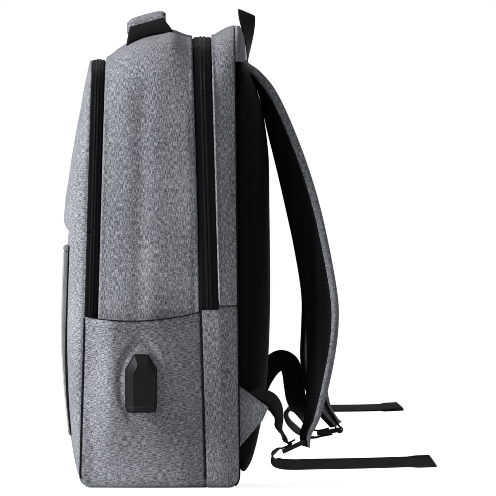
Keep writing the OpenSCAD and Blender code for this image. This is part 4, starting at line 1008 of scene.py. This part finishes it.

# Piping: black cord sewn in along the panel's two upright edges, broadest at half their height, where the
# extra width is painted shade under the panel's edge, and down the front and rear seams of each slip pocket
# and along its mouth.
z = np.linspace(51, 233, 90)
# Painted shade: the cord widens towards half height, and its black stands in for the shadow under the panel's
# edge.
wide = 1.1 + 0.9 * ramp(z, 190, 120) - 0.7 * ramp(z, 90, 51)
for side, turn in HANDS.items():
    path = grid(101.6, skin_y(101.15, z) - CLEAR - wide / 2, z)
    ribbon("solar_piping_and_shade_" + side, path * turn, (0, -1, 0), wide[:, None, None], 1.1, binding, "pack")
    for name, station, z1, off, share in (("front", front_edge, 164, 1.2, 0),
                                          ("rear", main_zip_front, 174, -1.5, 1)):
        seam = np.linspace(9, z1, 60)
        path = toe(grid(half_width(station, seam) + off, seam_y(station, seam), seam), share)
        ribbon(name + "_seam_cord_" + side, path * turn, (0, -1, 0), 2.0, 2.0, binding, "pack")
    ribbon("mouth_cord_" + side, (pocket_edge + [0, 0, 0.3]) * turn, (1, 0, 0), 1.8, 1.0, binding, "pack")

# Shoulder straps: foam between a heather face, which wraps the edges, and a black mesh lining, with a cord in
# the seam. Each hangs from under the yoke, swings out round the shoulder and narrows to its webbing loop.
strap_root = np.array([0, 81.068, 407.6])
shares = {
    "right": [[-0.1, -0.022], [0, 0], [0.141, 0.025], [0.296, 0.076], [0.451, 0.163], [0.662, 0.299],
              [0.845, 0.445], [1, 0.606], [1.04, 0.707], [1, 0.831], [0.91, 0.949], [0.817, 1],
              [0.77, 1.035]],
    "left": [[-0.1, -0.022], [0, 0], [0.141, 0.026], [0.296, 0.078], [0.451, 0.166], [0.662, 0.305],
             [0.845, 0.454], [0.986, 0.618], [0.995, 0.72], [0.958, 0.818], [0.965, 0.896], [1.07, 0.96],
             [1.211, 1], [1.24, 1.008]]}
tip = {"right": np.array([112, 139.075, 52.6]), "left": np.array([112, 167.049, 59.6])}


def strap_frame(side):
    """The strap's middle line, and its width, thickness, side and face directions along it. Its route is
    typed as shares of its reach to the rear, 71 mm, and of its drop from root to tip."""
    line = smooth_path(np.array(shares[side]) * [71, tip[side][2] - strap_root[2]], 9)
    s = (np.arange(len(line)) - 9) / (len(line) - 19)
    way = unit(np.gradient(line, axis=0))
    centre = strap_root + grid(50 + 62 * ramp(s, 0, 1), *line.T)
    width = 56 + 9 * ramp(s, 0, 0.3)
    width = width + (28 - width) * ramp(s, 0.62, 1)
    thick = 11 * (0.8 + 0.2 * ramp(s, 0, 0.2)) * (1 - 0.4 * ramp(s, 0.8, 1)) * (1 - 0.55 * ramp(s, 1, 1.1))
    turn = np.radians(27 * ramp(s, 0, 0.5) * (1 - 0.4 * ramp(s, 0.7, 1)))[:, None]
    out = grid(0, -way[:, 1], way[:, 0])
    across = [1, 0, 0] * np.cos(turn) + out * np.sin(turn)
    face = out * np.cos(turn) - [1, 0, 0] * np.sin(turn)
    return centre + face * (3 * ramp(s, 1, 1.1))[:, None], width, thick, across, face


def strap_skin(strap, a, grow=0.0):
    """Part of the strap's skin between two angles of its flattened ring: side * cos^0.5, face * sin^0.7."""
    centre, width, thick, across, face = strap
    u, v = power(np.cos(a)[None], 0.5), power(np.sin(a)[None], 0.7)
    return (centre[:, None] + across[:, None] * (u * (width[:, None] / 2 + grow))[..., None]
            + face[:, None] * (v * (thick[:, None] / 2 + grow))[..., None])


outer, inner = -np.radians(44), np.pi - np.radians(14)
for side, turn in HANDS.items():
    body, strap = "strap_" + side, strap_frame(side)
    cover = surface("strap_cover_" + side, strap_skin(strap, np.linspace(outer, inner, 50)) * turn, heather,
                    skin=1.2)
    dress(cover, body, "heather_cloth", body)
    liner = surface("strap_lining_" + side,
                    strap_skin(strap, np.linspace(inner, 2 * np.pi + outer, 40)) * turn,
                    air_mesh, skin=1.2)
    dress(liner, body, "air_mesh")
    for k, a in enumerate((outer, inner)):
        path = strap_skin(strap, np.array([a]), 0.35)[:-6, 0] * turn
        over = np.gradient(path, axis=0)[:, [1, 2, 0]]
        ribbon("strap_seam_cord_%s_%d" % (side, k), path, over, 1.7, 1.7, binding, body)

# Ladder locks: black acetal slides, each hung by a webbing loop that is sewn down on the face of the strap's
# tip and turned in under it. The anchor webbing and the free tail lie over its bars.
turned = {"right": np.radians(205), "left": np.radians(190)}
pin = {"right": np.array([112, 136.81, 43.89]), "left": np.array([112, 172.736, 52.625])}
for side, turn in HANDS.items():
    eased("lock_" + side, hood_plastic, "lock_" + side, "black_plastic", 0.7)
    up = unit(tip[side] - pin[side])
    out = np.array([0, up[2], -up[1]])
    a = np.radians(np.linspace(30, -210, 22))[:, None]
    centre, _, thick, _, face = strap_frame(side)
    patch = (centre + face * (thick / 2 + 0.9)[:, None])[-27:-11:2]
    path = np.concatenate([patch, [pin[side] + up * 4.2 + out * 1.9],
                           pin[side] + 2.7 * (out * np.cos(a) + up * np.sin(a)),
                           [pin[side] + up * 4.2 - out * 1.5, pin[side] + up * 8.7 - out * 0.9]])
    ribbon("lock_loop_webbing_" + side, path * turn, (1, 0, 0), WEB_W, WEB_T, webbing, "strap_" + side,
           "webbing", "lock_loop_" + side)

# Anchor tabs: a triangle of heather cloth folded double and sewn into each back seam near the base, with two
# rows of stitches along its edges and the anchor webbing sewn to it.
u = np.linspace(0, 1, 24)[:, None]
a = np.linspace(0, 2 * np.pi, 40, endpoint=False)[None]
low, high = (np.array([seam_y(back_edge, z) + CLEAR, z]) * (1 - u) + np.array(end) * u
             for z, end in ((39, (97.5, 65.5)), (99, (102.8, 77.8))))
share = (0.5 + 0.5 * power(np.cos(a), 0.4))[..., None]
flat = low[:, None] * (1 - share) + high[:, None] * share
full = 1.5 * power(np.sin(a), 0.55) * (1 - 0.35 * u ** 8)
tab = grid(131.5 + full, flat[..., 0], flat[..., 1])
for side, turn in HANDS.items():
    piece = surface("strap_tab_cloth_" + side, tab * turn, heather, ring=True)
    dress(piece, "pack", "heather_cloth", "strap_tab_" + side)
    for k, inset in enumerate((2.6, 5.4)):
        for edge_line, way in ((low, 1), (high, -1)):
            slope = unit(edge_line[-1] - edge_line[0])
            up = np.array([0, -slope[1], slope[0]])
            row = edge_line[1:-2] + way * inset * up[1:]
            row = grid(133.1, *row.T) * turn
            stitch_row("tab_stitches_%s_%d_%d" % (side, k, way), row, up, turn * [1, 0, 0], 2.6, grey_thread)

# Anchor webbing and tails: 20 mm black polypropylene webbing from each tab to its lock, and from the lock to
# a free tail with a hemmed end. The tails are carried by the locks.


def on_lock(side, b, c):
    """A place on a lock, b along it from its pin and c webbings above its face."""
    way = np.array([0, np.cos(turned[side]), np.sin(turned[side])])
    up = np.array([0, np.sin(turned[side]), -np.cos(turned[side])])
    return pin[side] + b * way + (2 + (c + 0.5) * WEB_T + (c + 1) * CLEAR) * up


def turned_over(path, first, start, stop):
    """Directions across a path that turn from first to X between two shares of it."""
    t = ramp(np.linspace(0, 1, len(path)), start, stop)[:, None]
    return first * (1 - t) + [1, 0, 0] * t


routes = {
    "right": [[129, 86, 83], [129, 95, 86], [129.3, 104, 84], [130, 110, 77], [130, 112.5, 68],
              [126, 113, 58], [118, 117, 50], on_lock("right", 14, 1.6), on_lock("right", 7, 1.2)],
    "left": [[134.1, 86, 80], [134.1, 92, 92], [134.1, 98, 104], [134.1, 106, 115], [134.1, 115, 120.5],
             [134.1, 123, 117], [134.1, 126.5, 108], [133.1, 128, 97], [127.1, 130, 84], [118, 134, 69],
             [112, 141, 56], on_lock("left", 22, 0), on_lock("left", 10, 0)]}
turns = {"right": (-0.3, 1), "left": (0.6, 0.86)}
tails = {
    "right": [on_lock("right", 12, 0), on_lock("right", 20, 0), [112, 112, 37], [112, 107, 32],
              [112, 108, 26], [112, 114, 23], [112, 126, 22], [112, 150, 22.5], [114, 200.4, 23.5],
              [116, 262, 25.5]],
    "left": [on_lock("left", 8, -3.26), on_lock("left", 16, -3.26), [116, 146, 45], [124, 135, 49],
             [138, 126, 58], [147, 122, 67], [149, 127, 73], [149, 150, 73], [149, 199.2, 73.5],
             [149, 232, 75]]}
lean = {"right": np.radians(31), "left": np.radians(18)}
for side, turn in HANDS.items():
    path = smooth_path(np.array(routes[side]), 9)
    over = turned_over(path, flat_on(path), *turns[side])
    anchor = ribbon("anchor_webbing_" + side, path * turn, over * turn, WEB_W, WEB_T, webbing)
    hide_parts("anchor_web_" + side)
    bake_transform(anchor)
    path = smooth_path(np.array(tails[side]), 9)
    over = turned_over(path[::-1], np.array([np.cos(lean[side]), 0, np.sin(lean[side])]), 0.5, 0.9)[::-1]
    hem = ramp(path[:, 1], path[-1, 1] - 19, path[-1, 1] - 16)[:, None, None]
    ribbon("web_tail_webbing_" + side, path * turn, over * turn, WEB_W + 2 * hem, WEB_T * (1 + hem), webbing,
           "lock_" + side, "webbing", "web_tail_" + side, slant=-3.5)
